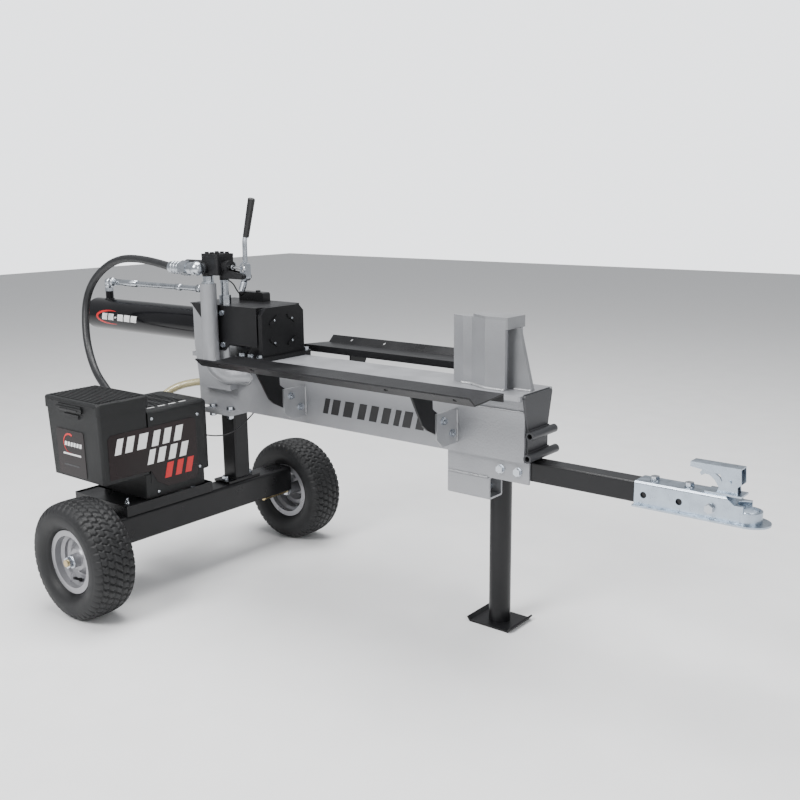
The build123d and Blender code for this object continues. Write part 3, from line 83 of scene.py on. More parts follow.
def surface(name, colour, metallic=0.0, rough=0.5, bump=0.1, bump_scale=300.0, grain=0.0,
            vary=0.12, vary_scale=9.0, coat=0.0, specular=0.5):
    """Procedural surface: mottled colour, uneven roughness and fine bump."""
    mat = bpy.data.materials.new(name)
    mat.use_nodes = True
    nodes, links = mat.node_tree.nodes, mat.node_tree.links
    shader = nodes["Principled BSDF"]
    node_input(shader, "Metallic", metallic)
    node_input(shader, "Coat Weight", coat)
    node_input(shader, "Coat Roughness", 0.12)
    node_input(shader, "Specular IOR Level", specular)
    coords = nodes.new("ShaderNodeTexCoord").outputs["Object"]

    cloud = nodes.new("ShaderNodeTexNoise")
    node_input(cloud, "Scale", vary_scale)
    node_input(cloud, "Detail", 6.0)
    links.new(coords, cloud.inputs["Vector"])
    ramp = nodes.new("ShaderNodeValToRGB")
    ramp.color_ramp.elements[0].position = 0.3
    ramp.color_ramp.elements[1].position = 0.7
    ramp.color_ramp.elements[0].color = [c * (1 - vary) for c in colour] + [1]
    ramp.color_ramp.elements[1].color = [min(1, c * (1 + vary)) for c in colour] + [1]
    links.new(cloud.outputs["Fac"], ramp.inputs["Fac"])
    links.new(ramp.outputs["Color"], shader.inputs["Base Color"])

    fine = nodes.new("ShaderNodeTexNoise")
    node_input(fine, "Scale", bump_scale)
    node_input(fine, "Detail", 3.0)
    links.new(coords, fine.inputs["Vector"])
    shine = nodes.new("ShaderNodeMapRange")
    node_input(shine, "From Min", 0.3)
    node_input(shine, "From Max", 0.7)
    node_input(shine, "To Min", max(0.04, rough - 0.07))
    node_input(shine, "To Max", min(1.0, rough + 0.09))
    links.new(cloud.outputs["Fac"], shine.inputs["Value"])
    links.new(shine.outputs["Result"], shader.inputs["Roughness"])
    height = fine.outputs["Fac"]
    if grain:
        cells = nodes.new("ShaderNodeTexVoronoi")
        node_input(cells, "Scale", grain)
        links.new(coords, cells.inputs["Vector"])
        summed = nodes.new("ShaderNodeMath")
        summed.operation = "ADD"
        links.new(fine.outputs["Fac"], summed.inputs[0])
        links.new(cells.outputs["Distance"], summed.inputs[1])
        height = summed.outputs["Value"]
    relief = nodes.new("ShaderNodeBump")
    node_input(relief, "Strength", bump)
    node_input(relief, "Distance", 0.0008)
    links.new(height, relief.inputs["Height"])
    links.new(relief.outputs["Normal"], shader.inputs["Normal"])
    return mat


SILVER = surface("silver_hammered_enamel", (0.31, 0.315, 0.33), metallic=0.35, rough=0.38, bump=0.45,
                 bump_scale=260, grain=170, vary=0.05, vary_scale=14)
POWDER = surface("black_powder_coat", (0.008, 0.008, 0.009), rough=0.33, bump=0.2, bump_scale=700,
                 vary=0.2, vary_scale=12, specular=0.32)
GLOSS = surface("gloss_black_enamel", (0.004, 0.004, 0.005), rough=0.16, bump=0.06, bump_scale=240,
                vary=0.2, specular=0.3)
ZINC = surface("bright_zinc_plate", (0.50, 0.53, 0.57), metallic=1.0, rough=0.24, bump=0.12,
               bump_scale=420, vary=0.12, vary_scale=34)
COUPLER_ZINC = surface("pressed_zinc_plate", (0.42, 0.48, 0.55), metallic=1.0, rough=0.28, bump=0.2,
                       bump_scale=300, vary=0.16, vary_scale=40)
DARK = surface("dark_grey_enamel", (0.045, 0.046, 0.05), metallic=0.3, rough=0.4, bump=0.3,
               bump_scale=260, vary=0.12)
# Painted shade: the wedge's backing gets a darker copy of the hammered silver, because that piece sits
# behind the knife, away from the light.
SILVER_PAINTED_SHADE = surface("silver_enamel_painted_shade", (0.26, 0.265, 0.275), metallic=0.35, rough=0.38, bump=0.4,
                  bump_scale=260, grain=170, vary=0.07)
CHROME = surface("hard_chrome", (0.72, 0.73, 0.75), metallic=1.0, rough=0.08, bump=0.03,
                 bump_scale=900, vary=0.04)
CAST = surface("painted_casting", (0.006, 0.006, 0.007), rough=0.4, bump=0.7, bump_scale=420,
               grain=500, vary=0.3, specular=0.35)
TYRE = surface("turf_tyre_rubber", (0.009, 0.0092, 0.010), rough=0.55, bump=0.3, bump_scale=500,
               vary=0.35, vary_scale=22, specular=0.4)
RIM = surface("wheel_enamel", (0.30, 0.30, 0.315), metallic=0.5, rough=0.32, bump=0.2, bump_scale=300,
              vary=0.1, vary_scale=20)
PLASTIC = surface("grained_black_moulding", (0.009, 0.0095, 0.010), rough=0.44, bump=0.8,
                  bump_scale=900, grain=650, vary=0.15, vary_scale=7, specular=0.35)
SMOOTH_PLASTIC = surface("smooth_black_moulding", (0.008, 0.008, 0.009), rough=0.28, bump=0.12,
                         bump_scale=300, vary=0.15, specular=0.4)
HOSE = surface("wrapped_hose_rubber", (0.012, 0.0125, 0.014), rough=0.4, bump=0.35, bump_scale=800,
               vary=0.2, vary_scale=30)
WIRE = surface("cable_sheath", (0.010, 0.010, 0.011), rough=0.36, bump=0.1, vary=0.1)
GRIP = surface("moulded_grip", (0.008, 0.008, 0.008), rough=0.3, bump=0.15, bump_scale=600, vary=0.2)
BRASS = surface("passivated_plate", (0.50, 0.40, 0.22), metallic=1.0, rough=0.3, bump=0.15, vary=0.15,
                vary_scale=60)
WELD = surface("weld_bead_enamel", (0.36, 0.365, 0.375), metallic=0.45, rough=0.3, bump=0.5,
               bump_scale=500, vary=0.12, vary_scale=60)
WHITE_MARK = surface("white_print", (0.80, 0.80, 0.80), rough=0.35, bump=0.05, vary=0.04)
RED_MARK = surface("red_print", (0.55, 0.010, 0.012), rough=0.32, bump=0.05, vary=0.12)
BLACK_MARK = surface("black_print", (0.006, 0.006, 0.007), rough=0.32, bump=0.08, vary=0.15)
LABEL = surface("maroon_black_label", (0.009, 0.0035, 0.004), rough=0.26, bump=0.06, vary=0.4,
                vary_scale=5, specular=0.3)

NODE_MATERIALS = {
    SILVER: ("beam_flange", "beam_tank", "beam_side_plates", "cylinder_side_plates", "riser_pipe",
             "tray_brackets", "wedge_knife", "wedge_wings", "jack_socket", "drawbar_plates",
             "post_head_plate"),
    SILVER_PAINTED_SHADE: ("wedge_backing",),
    DARK: ("end_plate", "socket_tubes"),
    POWDER: ("axle_tube", "post", "near_tray", "far_tray", "tray_gussets", "guard_cover",
             "pusher_plate", "pusher_slide", "jack_leg", "jack_foot", "drawbar", "unit_tray"),
    GLOSS: ("cylinder_barrel", "cylinder_gland"),
    ZINC: ("wheel_nuts", "m12_bolts", "pusher_bolts", "tray_bolts", "hydraulic_fittings",
           "rigid_tube", "hose_clamps", "jack_pivot", "lever"),
    COUPLER_ZINC: ("coupler_shell", "latch_bracket", "coupler_latch", "coupler_jaw"),
    CHROME: ("piston_rod", "valve_spool"),
    CAST: ("valve_body", "valve_end_caps", "pump"),
    RIM: ("near_rim", "far_rim"),
    PLASTIC: ("motor_housing", "battery_box", "battery_lid", "battery_pack"),
    SMOOTH_PLASTIC: ("switch_box",),
    GRIP: ("lever_grip",),
    BRASS: ("axle_spindles",),
}
NO_BEVEL = ("hydraulic_fittings", "near_rim", "far_rim", "hose_clamps", "rigid_tube", "riser_pipe")
EDGE_ROUND = 0.0009


def dress_cad_nodes():
    """Give every shown CAD node its surface, and a small rounded edge that catches light."""
    for mat, names in NODE_MATERIALS.items():
        for name in names:
            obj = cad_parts[name]
            obj.data.materials.clear()
            obj.data.materials.append(mat)
            if name in NO_BEVEL:
                continue
            rounding = obj.modifiers.new("edge_round", "BEVEL")
            rounding.width = EDGE_ROUND
            rounding.segments = 2
            rounding.limit_method = "ANGLE"
            rounding.angle_limit = math.radians(40)
            rounding.harden_normals = True


# ---- Mesh helpers ----
def mesh_piece(name, verts, faces, material, body=FRAME, smooth=False, round_edge=0.0):
    """New mesh object from points in the shared frame that rides on a body."""
    mesh = bpy.data.meshes.new(name)
    mesh.from_pydata([tuple(v) for v in verts], [], faces)
    mesh.validate()
    mesh.materials.append(material)
    for polygon in mesh.polygons:
        polygon.use_smooth = smooth
    obj = bpy.data.objects.new(name, mesh)
    bpy.context.collection.objects.link(obj)
    if round_edge:
        rounding = obj.modifiers.new("edge_round", "BEVEL")
        rounding.width = round_edge
        rounding.segments = 3
        rounding.limit_method = "ANGLE"
    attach(obj, body)
    return obj


def prism(name, outline, origin, right, up, depth, material, body=FRAME, round_edge=0.0):
    """Flat outline in mm, standing on a plane through `origin` and raised along its normal."""
    right, up = Vector(right).normalized(), Vector(up).normalized()
    normal = right.cross(up)
    base = at(*origin)
    lower = [base + (right * a + up * b) / 1000 for a, b in outline]
    upper = [v + normal * depth / 1000 for v in lower]
    count = len(outline)
    faces = [list(range(count))[::-1], list(range(count, 2 * count))]
    for i in range(count):
        j = (i + 1) % count
        faces.append([i, j, count + j, count + i])
    return mesh_piece(name, lower + upper, faces, material, body, round_edge=round_edge)


def rounded_rectangle(a0, a1, b0, b1, radius, steps=5):
    """Outline of a rectangle with rounded corners, anticlockwise."""
    points = []
    for ca, cb, start in ((a1 - radius, b0 + radius, -90), (a1 - radius, b1 - radius, 0),
                          (a0 + radius, b1 - radius, 90), (a0 + radius, b0 + radius, 180)):
        for step in range(steps + 1):
            angle = math.radians(start + 90 * step / steps)
            points.append((ca + radius * math.cos(angle), cb + radius * math.sin(angle)))
    return points


def resample(points, spacing):
    """Points about `spacing` apart along a polyline."""
    result = [points[0]]
    for start, end in zip(points, points[1:]):
        steps = max(1, round((end - start).length / spacing))
        result += [start.lerp(end, i / steps) for i in range(1, steps + 1)]
    return result


def bead(name, points, radius=3.2, material=None, body=FRAME, seed=1):
    """Weld bead with overlapping ripples along a line of points in mm."""
    rng = random.Random(seed)
    line = resample([at(*p) for p in points], 0.0011)
    verts, faces = [], []
    sides = 8
    for i, point in enumerate(line):
        ahead = line[min(i + 1, len(line) - 1)] - line[max(i - 1, 0)]
        tangent = ahead.normalized()
        side = tangent.orthogonal().normalized()
        other = tangent.cross(side)
        ripple = 0.84 + 0.22 * abs(math.sin(i * math.pi / 3)) + rng.uniform(-0.03, 0.03)
        if i in (0, len(line) - 1):
            ripple = 0.25
        for k in range(sides):
            angle = 2 * math.pi * k / sides
            verts.append(point + (side * math.cos(angle) + other * math.sin(angle))
                         * radius / 1000 * ripple)
    for i in range(len(line) - 1):
        for k in range(sides):
            n = (k + 1) % sides
            faces.append([i * sides + k, i * sides + n, (i + 1) * sides + n, (i + 1) * sides + k])
    faces.append(list(range(sides))[::-1])
    faces.append([len(verts) - sides + k for k in range(sides)])
    return mesh_piece(name, verts, faces, material or WELD, body, smooth=True)


def lathe(name, centre, axis, profile, material, body=FRAME, steps=48):
    """Revolved profile of (offset along axis, radius) pairs in mm, closed at its ends."""
    axis = Vector(axis).normalized()
    side = axis.orthogonal().normalized()
    other = axis.cross(side)
    base = at(*centre)
    verts, faces = [], []
    for offset, radius in profile:
        for k in range(steps):
            angle = 2 * math.pi * k / steps
            verts.append(base + (axis * offset + (side * math.cos(angle) + other * math.sin(angle))
                                 * radius) / 1000)
    for i in range(len(profile) - 1):
        for k in range(steps):
            n = (k + 1) % steps
            faces.append([i * steps + k, i * steps + n, (i + 1) * steps + n, (i + 1) * steps + k])
    faces.append(list(range(steps))[::-1])
    faces.append([len(verts) - steps + k for k in range(steps)])
    return mesh_piece(name, verts, faces, material, body, smooth=True)


# ---- Hoses and wires: control points of the same routes as in the CAD ----
HOSE_POINTS = ((-82, -150, 926), (-260, -122, 948), (-432, -115, 932), (-552, -130, 835), (-532, -162, 690),
               (-445, -196, 585), (-330, -228, 535), (-262, -241, 497), (-226, -245, 437),
               (-226, -245, 372))
SUCTION_POINTS = ((-122, -15, 556), (-196, -46, 548), (-238, -108, 502), (-236, -160, 442),
                  (-226, -178, 366))
POST_WIRE_POINTS = ((8, -129.5, 424), (12, -70, 404), (70, -37, 440), (118, -24, 494.5))
SWITCH_WIRE_POINTS = ((54, -53, 887), (34, -16, 876), (8, 22, 846), (2, 43.5, 830))


def route(name, points, radius, material):
    """Smooth NURBS tube through a route's control points."""
    curve = bpy.data.curves.new(name, "CURVE")
    curve.dimensions = "3D"
    spline = curve.splines.new("NURBS")
    spline.points.add(len(points) - 1)
    for control, point in zip(spline.points, points):
        control.co = (*at(*point), 1)
    spline.order_u = 3
    spline.use_endpoint_u = True
    spline.resolution_u = 16
    curve.bevel_depth = radius / 1000
    curve.bevel_resolution = 6
    curve.use_fill_caps = True
    curve.materials.append(material)
    obj = bpy.data.objects.new(name, curve)
    bpy.context.collection.objects.link(obj)
    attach(obj, FRAME)
    return obj


def clear_hose_material():
    """Yellowish hose that lets a little light through."""
    mat = surface("clear_reinforced_hose", (0.62, 0.55, 0.33), rough=0.2, bump=0.2, vary=0.1, coat=0.5)
    node_input(mat.node_tree.nodes["Principled BSDF"], "Transmission Weight", 0.35)
    return mat


def add_hoses():
    """The pressure hose, the suction hose and two wires."""
    hose = route("pressure_hose", HOSE_POINTS, 12.0, HOSE)
    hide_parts("main_hose")
    suction = route("clear_suction_hose", SUCTION_POINTS, 12.0, clear_hose_material())
    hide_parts("suction_hose")
    for name, points, length in (("post_wire", POST_WIRE_POINTS, 0.204),
                                 ("switch_wire", SWITCH_WIRE_POINTS, 0.125)):
        wire = route(name, points, 2.0, WIRE)
        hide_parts("switch_wires")


# ---- Tyres ----
TYRE_PROFILE = ((39.5, 80), (40, 89.5), (50, 96), (59.5, 108), (63.2, 124), (61, 142), (54, 155),
                (42, 161.8), (22, 164.6), (0, 165.0))
PROFILE_SAMPLES = 7
TYRE_STEPS = 460
WHEEL_R = 165
NEAR_WHEEL_Y = -570
FAR_WHEEL_Y = 249
TREAD_DEPTH = 5.6
LUGS = 46
LUG_PITCH = 22.5                  # length of one lug and its groove round the tyre
TREAD_EDGE_R = 137                # the tread starts at this radius
SHOULDER_FROM = 48                # the shoulder lugs start this far from the middle
SHOULDER_FADE = 8
SHOULDER_GROOVE = 3.2
BLOCK_GROOVE = 2.4
BLOCK_LEAN = 0.030
ROW_MARGIN = 2.2
GROOVE_SOFTNESS = 1.3
# each tread row: distance from the middle, half width, stagger in pitches
TREAD_ROWS = ((0.0, 10.5, 0.0), (20.5, 8.5, 0.5), (39.0, 8.0, 0.0))
WALL_R = 140                      # the moulded rings lie inside this radius
WALL_RINGS = (99.0, 117.0, 134.0)
WALL_RING_HEIGHT = 0.7
WALL_RING_HALF = 1.6


def smooth_profile(points, samples):
    """Catmull-Rom curve through profile points."""
    padded = [points[0], *points, points[-1]]
    result = []
    for i in range(1, len(padded) - 2):
        p0, p1, p2, p3 = padded[i - 1:i + 3]
        for step in range(samples):
            t = step / samples
            result.append(tuple(0.5 * (2 * b + (c - a) * t + (2 * a - 5 * b + 4 * c - d) * t * t
                                       + (3 * b - a - 3 * c + d) * t ** 3)
                                for a, b, c, d in zip(p0, p1, p2, p3)))
    return result + [points[-1]]


def edge_step(distance, soft):
    """0 outside, 1 inside, with a soft edge."""
    return min(1.0, max(0.0, distance / soft + 0.5))


def tread_height(turn, across, radius):
    """Share of full tread height at a position round and across the tyre."""
    if radius < TREAD_EDGE_R:
        return 1.0
    pitch = turn * LUGS
    reach = abs(across)
    if reach > SHOULDER_FROM:
        phase = (pitch + 0.5) % 1.0
        gap = abs(phase - 0.5) * LUG_PITCH
        fade = min(1.0, max(0.0, (radius - TREAD_EDGE_R) / SHOULDER_FADE))
        return 1 - fade * edge_step(SHOULDER_GROOVE - gap, GROOVE_SOFTNESS)
    for centre, half, stagger in TREAD_ROWS:
        off_row = abs(reach - centre)
        if off_row < half + ROW_MARGIN:
            lean = BLOCK_LEAN * off_row * (1 if across > 0 else -1)
            phase = (pitch + stagger + lean) % 1.0
            along = (0.5 - abs(phase - 0.5)) * LUG_PITCH
            return (edge_step(along - BLOCK_GROOVE, GROOVE_SOFTNESS)
                    * edge_step(half - off_row, GROOVE_SOFTNESS))
    return 0.0


def tyre(name, node, centre, body):
    """Turf tyre: blocks in staggered rows, lugged shoulders and thin moulded rings on the walls."""
    half = smooth_profile(TYRE_PROFILE, PROFILE_SAMPLES)
    profile = half + [(-a, r) for a, r in reversed(half[:-1])]
    verts, faces = [], []
    count = len(profile)
    for step in range(TYRE_STEPS):
        turn = step / TYRE_STEPS
        angle = 2 * math.pi * turn
        for i, (across, radius) in enumerate(profile):
            before, after = profile[max(i - 1, 0)], profile[min(i + 1, count - 1)]
            run, rise = after[0] - before[0], after[1] - before[1]
            length = math.hypot(run, rise) or 1
            sink = TREAD_DEPTH * (1 - tread_height(turn, across, radius))
            if radius < WALL_R:
                for ring in WALL_RINGS:
                    sink -= WALL_RING_HEIGHT * max(0, 1 - abs(radius - ring) / WALL_RING_HALF)
            # move along the surface's normal, but never wider than the profile
            sideways = 1 if run < 0 else -1
            a = across + sideways * (sink * rise / length)
            r = radius - sink * abs(run) / length
            y = centre + (across if abs(a) > abs(across) else a)
            verts.append(at(0, y, WHEEL_R)
                         + Vector((math.cos(angle) * r, 0, math.sin(angle) * r)) / 1000)
    for step in range(TYRE_STEPS):
        n = (step + 1) % TYRE_STEPS
        for i in range(count - 1):
            faces.append([step * count + i, step * count + i + 1, n * count + i + 1, n * count + i])
    obj = mesh_piece(name, verts, faces, TYRE, body, smooth=True)
    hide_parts(node)
    return obj


# ---- Weld beads ----
def add_welds():
    """Beads where plates and tubes are welded together."""
    seeds = iter(range(10, 200))
    for side in (-1, 1):
        bead(f"weld_wedge_base_{side + 1}",
             [(868, side * 14, 664.5), (898, side * 15, 664.5), (957, side * 42, 664.5),
              (1014, side * 42, 664.5)], 4.4, seed=next(seeds))
        bead(f"weld_rib_base_{side + 1}", [(1020, side * 8, 664.5), (1068, side * 8, 664.5)], 3.6,
             seed=next(seeds))
        bead(f"weld_side_plate_{side + 1}", [(-55, side * 79, 650.5), (76, side * 79, 650.5)], 3.0,
             seed=next(seeds))
        for x in (357, 881):
            bead(f"weld_bracket_{side + 1}_{x}", [(x + 3, side * 54.5, 522), (x + 3, side * 54.5, 604)],
                 3.2, seed=next(seeds))
            bead(f"weld_gusset_{side + 1}_{x}", [(x - 6, side * 152, 676), (x - 6, side * 232, 671)],
                 2.4, POWDER, seed=next(seeds))
        bead(f"weld_boxing_{side + 1}", [(-96, side * 50, 619), (1077, side * 50, 619)], 2.4,
             seed=next(seeds))
        bead(f"weld_drawbar_plate_{side + 1}", [(842, side * 32.5, 494), (1079, side * 32.5, 494)],
             2.8, seed=next(seeds))
    bead("weld_jack_socket", [(842, -31, 436), (962, -31, 436)], 3.4, seed=next(seeds))
    bead("weld_end_plate_top", [(1080, -60, 663), (1080, 60, 663)], 2.6, DARK, seed=next(seeds))
    for z, half in ((565, 50), (512, 50)):
        for lift in (-1, 1):
            bead(f"weld_socket_tube_{z}_{lift + 1}",
                 [(1087, -half, z + lift * 8.6), (1087, half, z + lift * 8.6)], 2.6, DARK,
                 seed=next(seeds))
    ring = [(106 + 33 * math.cos(t), -54, 604 + 25 * math.sin(t))
            for t in [2 * math.pi * k / 28 for k in range(29)]]
    bead("weld_return_elbow", ring, 3.6, seed=next(seeds))
    post = [(-36, -31), (27, -31), (27, 31), (-36, 31), (-36, -31)]
    bead("weld_post_foot", [(x, y, 264) for x, y in post], 3.0, POWDER, seed=next(seeds))
    bead("weld_post_head", [(x, y, 478) for x, y in post], 3.0, POWDER, seed=next(seeds))
    port = [(-612 + 14 * math.cos(t), 14 * math.sin(t), 788) for t in
            [2 * math.pi * k / 20 for k in range(21)]]
    bead("weld_rear_port", port, 2.4, GLOSS, seed=next(seeds))


# ---- Power unit detail ----
def slanted_bar(a, b, width, height, lean):
    """Parallelogram outline for a printed bar."""
    return [(a, b), (a + width, b), (a + width + lean, b + height), (a + lean, b + height)]


def arc_band(cx, cy, inner, outer, start, end, taper=1.0, steps=20):
    """Outline of a curved printed band that narrows towards its end."""
    out, back = [], []
    for i in range(steps + 1):
        t = i / steps
        angle = math.radians(start + (end - start) * t)
        thick = (outer - inner) * (1 - taper * t)
        out.append((cx + (inner + thick) * math.cos(angle), cy + (inner + thick) * math.sin(angle)))
        back.append((cx + inner * math.cos(angle), cy + inner * math.sin(angle)))
    return out + back[::-1][1:] if taper >= 1 else out + back[::-1]


def add_front_panel():
    """Printed panel across the power unit's front, with generic bars in place of lettering."""
    face = dict(right=(0, 1, 0), up=(0, 0, 1))
    panel = [(-487, 368), (-352, 366), (-332, 330), (-296, 309), (-196, 309), (-184, 322), (-184, 484),
             (-194, 494), (-479, 494), (-489, 484), (-489, 376)]
    prism("front_panel", panel, (30.2, 0, 0), depth=0.8, material=LABEL, **face)
    rows = ((-470, 436, 44, (34, 40, 50, 38, 40, 42), WHITE_MARK),
            (-364, 386, 42, (34, 40, 40, 40), WHITE_MARK),
            (-306, 334, 44, (38, 36, 38), RED_MARK))
    for row, (start, z, height, widths, ink) in enumerate(rows):
        y = start
        for k, width in enumerate(widths):
            prism(f"front_mark_{row}_{k}", slanted_bar(y, z, width * 0.6, height, 12), (31.0, 0, 0),
                  depth=0.3, material=ink, **face)
            y += width


def add_side_label():
    """Small label on the battery box: a red arc and plain bars."""
    face = dict(right=(1, 0, 0), up=(0, -0.0206, 1))
    base = (0, -508.6, 358)
    prism("side_label", rounded_rectangle(-178, -48, 6, 139, 5), base, depth=0.6, material=LABEL, **face)
    ink = (0, -509.3, 358)
    prism("side_label_arc", arc_band(-118, 98, 26, 32, 60, 285), ink, depth=0.3, material=RED_MARK,
          **face)
    for k in range(6):
        prism(f"side_label_mark_{k}", slanted_bar(-142 + 14 * k, 92, 10, 12, 3), ink, depth=0.3,
              material=WHITE_MARK, **face)
    for k, (b, height, length) in enumerate(((66, 5, 84), (34, 4, 72))):
        prism(f"side_label_line_{k}", slanted_bar(-152, b, length, height, 1), ink, depth=0.3,
              material=WHITE_MARK if k == 0 else DARK, **face)


def add_power_unit_detail():
    """Printed panels, lid latch and trim, tray deck, screws and vents on the power unit."""
    add_front_panel()
    add_side_label()
    prism("lid_latch", rounded_rectangle(-160, -34, 553, 566, 5), (0, -520.2, 0), right=(1, 0, 0),
          up=(0, 0, 1), depth=2.2, material=PLASTIC, body="lid", round_edge=0.0012)
    prism("lid_latch_grip", rounded_rectangle(-140, -54, 556, 561, 2), (0, -522.4, 0), right=(1, 0, 0),
          up=(0, 0, 1), depth=1.2, material=SMOOTH_PLASTIC, body="lid", round_edge=0.0005)
    prism("lid_seam_trim", rounded_rectangle(-205, 18, 574, 576, 0.9), (0, -516.1, 0), right=(1, 0, 0),
          up=(0, 0, 1), depth=0.8, material=SMOOTH_PLASTIC, body="lid")
    # printed lines in front of the cooling slits on the housing's top
    for row in range(4):
        prism(f"top_print_{row}", slanted_bar(-4, -330 + 38 * row, 6, 24, 1),
              (0, 0, 540.1), right=(1, 0, 0), up=(0, 1, 0), depth=0.3, material=WHITE_MARK)
    # deck beside the motor, with a tall stud
    prism("tray_deck", rounded_rectangle(-204, 34, -446, -373, 5), (0, 0, 279), right=(1, 0, 0),
          up=(0, 1, 0), depth=3, material=POWDER, round_edge=0.0006)
    lathe("tray_stud", (4, -420, 282), (0, 0, 1), ((0, 9), (1.6, 9), (1.7, 6.8), (7, 6.8), (7.2, 3.6),
          (15, 3.6), (16, 2.8)), ZINC, steps=6)
    for y, z in ((-176, 500), (-176, 340), (-340, 516), (-330, 300)):
        lathe(f"housing_screw_{-y}_{z}", (30.1, y, z), (1, 0, 0), ((0, 4.6), (1.4, 4.4), (2.2, 3.2),
              (2.2, 1.6), (1.2, 1.2)), ZINC, steps=20)
    for k in range(7):
        z = 380 + 18 * k
        prism(f"housing_side_vent_{k}", rounded_rectangle(30, 150, z, z + 7, 3), (0, -129, 0),
              right=(-1, 0, 0), up=(0, 0, 1), depth=1.4, material=PLASTIC, round_edge=0.0005)


# ---- Printed marks on the beam and the cylinder ----
BARREL_R = 53.0
BARREL_Z = 736.0


def barrel_patch(name, grid, material):
    """Thin print wrapped on the barrel; grid rows hold (x, height along the surface) pairs in mm."""
    radius = BARREL_R + 0.25
    verts, faces = [], []
    for row in grid:
        for x, arc in row:
            angle = arc / BARREL_R
            verts.append(at(x, -radius * math.cos(angle), BARREL_Z + radius * math.sin(angle)))
    width = len(grid[0])
    for i in range(len(grid) - 1):
        for k in range(width - 1):
            faces.append([i * width + k, i * width + k + 1, (i + 1) * width + k + 1, (i + 1) * width + k])
    mesh_piece(name, verts, faces, material, smooth=True)


def add_barrel_marks():
    """A red sweep and a row of plain white bars on the cylinder."""
    band = []
    for i in range(41):
        t = i / 40
        angle = math.radians(62 + 236 * t)
        thick = 9.0 * math.sin(math.pi * t) ** 0.7 + 0.4
        outer_x, outer_z = 74 * math.cos(angle), 25 * math.sin(angle)
        scale = 1 - thick / 60
        band.append([(-548 + outer_x * (1 - s * (1 - scale)), -2 + outer_z * (1 - s * 2.2 * (1 - scale)))
                     for s in (0, 0.5, 1)])
    barrel_patch("barrel_sweep", band, RED_MARK)
    x = -590
    for k, width in enumerate((34, 34, 16, 36, 36, 36)):
        tall = 5 if k == 2 else 22
        low = -3 if k == 2 else -11
        grid = [[(x + a * (width - 6) + 5 * b, low + tall * b) for a in (0, 0.5, 1)]
                for b in (0, 0.25, 0.5, 0.75, 1)]
        barrel_patch(f"barrel_bar_{k}", grid, WHITE_MARK)
        x += width


def add_beam_marks():
    """A row of plain slanted black bars along the beam's near side."""
    x = 424
    for k, width in enumerate((30, 44, 52, 42, 42, 42, 30, 44, 44, 44)):
        prism(f"beam_bar_{k}", slanted_bar(x, 533, width * 0.62, 44, 12), (0, -53.1, 0),
              right=(1, 0, 0), up=(0, 0, 1), depth=0.3, material=BLACK_MARK)
        x += width


def add_small_parts():
    """Valve stems, hub rings, bright discs on the pusher that are painted highlights, tube sleeves and
    nuts, a cable gland and ferrule rings.
    """
    for body, centre, outward in (("near_wheel", NEAR_WHEEL_Y, -1), ("far_wheel", FAR_WHEEL_Y, 1)):
        lathe(f"{body}_valve_stem", (0, centre + outward * 14, WHEEL_R - 60), (0, outward * 0.8, 0.45),
              ((0, 5.2), (4, 5.0), (5, 3.6), (16, 3.4), (17, 4.0), (24, 4.0), (26, 3.0)), TYRE, body,
              steps=20)
        lathe(f"{body}_hub_cap_ring", (0, centre + outward * 38.4, WHEEL_R), (0, outward, 0),
              ((0, 18.6), (1.0, 19.0), (2.2, 18.6), (2.6, 16.5)), ZINC, body, steps=40)
    # Painted highlights: small bright zinc discs stand where light shows through the pusher's slots.
    for k, (y, z) in enumerate(((-38, 778), (34, 778), (-38, 712), (34, 712))):
        lathe(f"pusher_slot_highlight_{k}", (228.9, y, z), (1, 0, 0), ((0, 3.4), (0.7, 3.2), (1.1, 1.6)), ZINC,
              "ram", steps=18)
    for k, (x, reach) in enumerate(((-575, 124), (-252, 27))):
        lathe(f"tube_sleeve_{k}", (x, 0, 847), (1, 0, 0), ((0, 9.2), (1, 11.0), (reach - 1, 11.0),
              (reach, 9.2)), ZINC, steps=28)
    lathe("port_elbow_foot", (-612, 0, 826), (0, 0, 1), ((0, 9.6), (0.5, 14.5), (12, 14.5), (14, 12.5)),
          ZINC, steps=6)
    lathe("port_elbow_body", (-612, 0, 838), (0, 0, 1), ((0, 13.0), (6, 14.2), (12, 14.0), (17, 11.5),
          (20, 7.0), (21, 2.0)), ZINC, steps=28)
    lathe("port_elbow_nut", (-598, 0, 847), (1, 0, 0), ((0, 9.6), (0.5, 15.0), (17, 15.0), (18, 9.6)),
          ZINC, steps=6)
    lathe("tube_front_nut", (-147, 0, 847), (1, 0, 0), ((0, 9.2), (0.6, 13.6), (18, 13.6), (19, 9.2)),
          ZINC, steps=6)
    lathe("switch_cable_gland", (-8.0, 56, 830), (-1, 0, 0), ((0, 6), (3, 6), (4, 4.5), (9, 4.2),
          (10, 2.6)), SMOOTH_PLASTIC, steps=24)
    for k in range(3):
        lathe(f"ferrule_ring_{k}", (-38 - 13 * k, -150, 926), (-1, 0, 0), ((0, 17.6), (1, 18.9),
              (5, 18.9), (6, 17.6)), ZINC, steps=32)


# ---- Floor and light ----
AMBIENT_LEVEL = 0.55
BACKDROP_LEVEL = 2.6
FLOOR_HALF = 12.0
LAMP_AIM = (0.1, -0.1, 0.5)
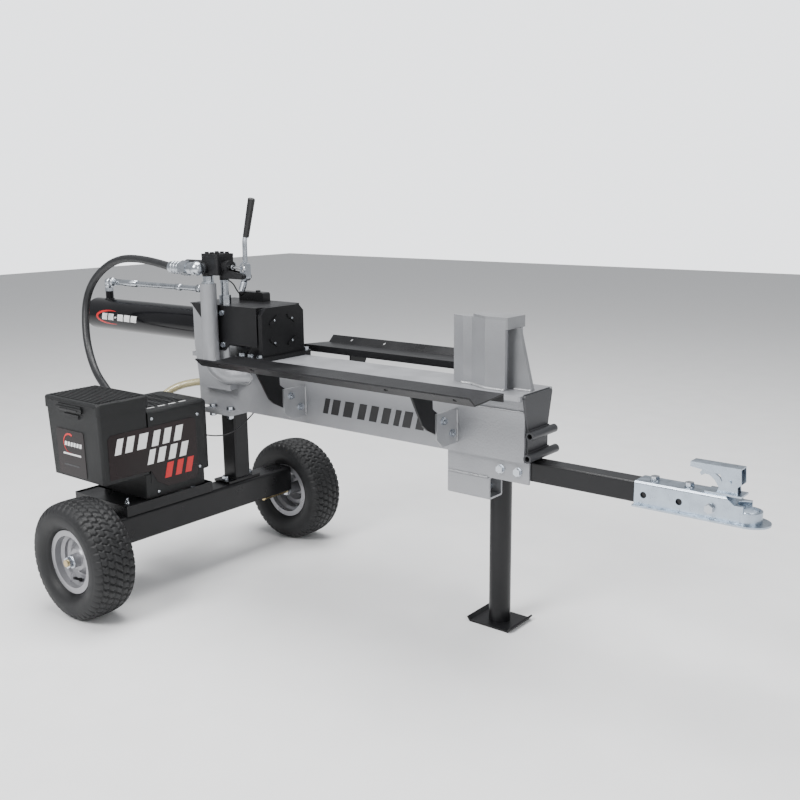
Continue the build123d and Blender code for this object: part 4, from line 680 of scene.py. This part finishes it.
# each lamp: name, position and size in metres, power in watts
LAMPS = (("key_lamp", (-0.4, -3.6, 3.6), 1.8, 230),
         ("fill_lamp", (3.6, -1.2, 2.2), 2.0, 45),
         ("top_lamp", (-0.2, 0.4, 4.4), 3.0, 260))


def add_floor_and_light():
    """Plain pale floor, pale surroundings and soft studio lamps."""
    mesh = bpy.data.meshes.new("studio_floor")
    mesh.from_pydata([(-FLOOR_HALF, -FLOOR_HALF, 0), (FLOOR_HALF, -FLOOR_HALF, 0),
                      (FLOOR_HALF, FLOOR_HALF, 0), (-FLOOR_HALF, FLOOR_HALF, 0)], [], [[0, 1, 2, 3]])
    mesh.materials.append(surface("studio_floor_paint", (0.86, 0.86, 0.86), rough=0.6, bump=0.02,
                                  vary=0.01))
    floor = bpy.data.objects.new("studio_floor", mesh)
    bpy.context.collection.objects.link(floor)
    world = bpy.data.worlds.new("studio_world")
    bpy.context.scene.world = world
    world.use_nodes = True
    nodes, links = world.node_tree.nodes, world.node_tree.links
    background = nodes["Background"]
    node_input(background, "Color", (0.95, 0.97, 1.0, 1))
    # the backdrop looks bright, but lights the object more softly than it looks
    seen = nodes.new("ShaderNodeLightPath")
    level = nodes.new("ShaderNodeMapRange")
    node_input(level, "To Min", AMBIENT_LEVEL)
    node_input(level, "To Max", BACKDROP_LEVEL)
    links.new(seen.outputs["Is Camera Ray"], level.inputs["Value"])
    links.new(level.outputs["Result"], background.inputs["Strength"])
    for name, position, size, power in LAMPS:
        data = bpy.data.lights.new(name, "AREA")
        data.energy = power
        data.size = size
        lamp = bpy.data.objects.new(name, data)
        lamp.location = position
        aim = Vector(LAMP_AIM) - Vector(position)
        lamp.rotation_euler = aim.to_track_quat("-Z", "Y").to_euler()
        bpy.context.collection.objects.link(lamp)


add_camera()
add_hoses()
dress_cad_nodes()
tyre("near_turf_tyre", "near_tyre", NEAR_WHEEL_Y, "near_wheel")
tyre("far_turf_tyre", "far_tyre", FAR_WHEEL_Y, "far_wheel")
add_welds()
add_power_unit_detail()
add_barrel_marks()
add_beam_marks()
add_small_parts()
add_floor_and_light()
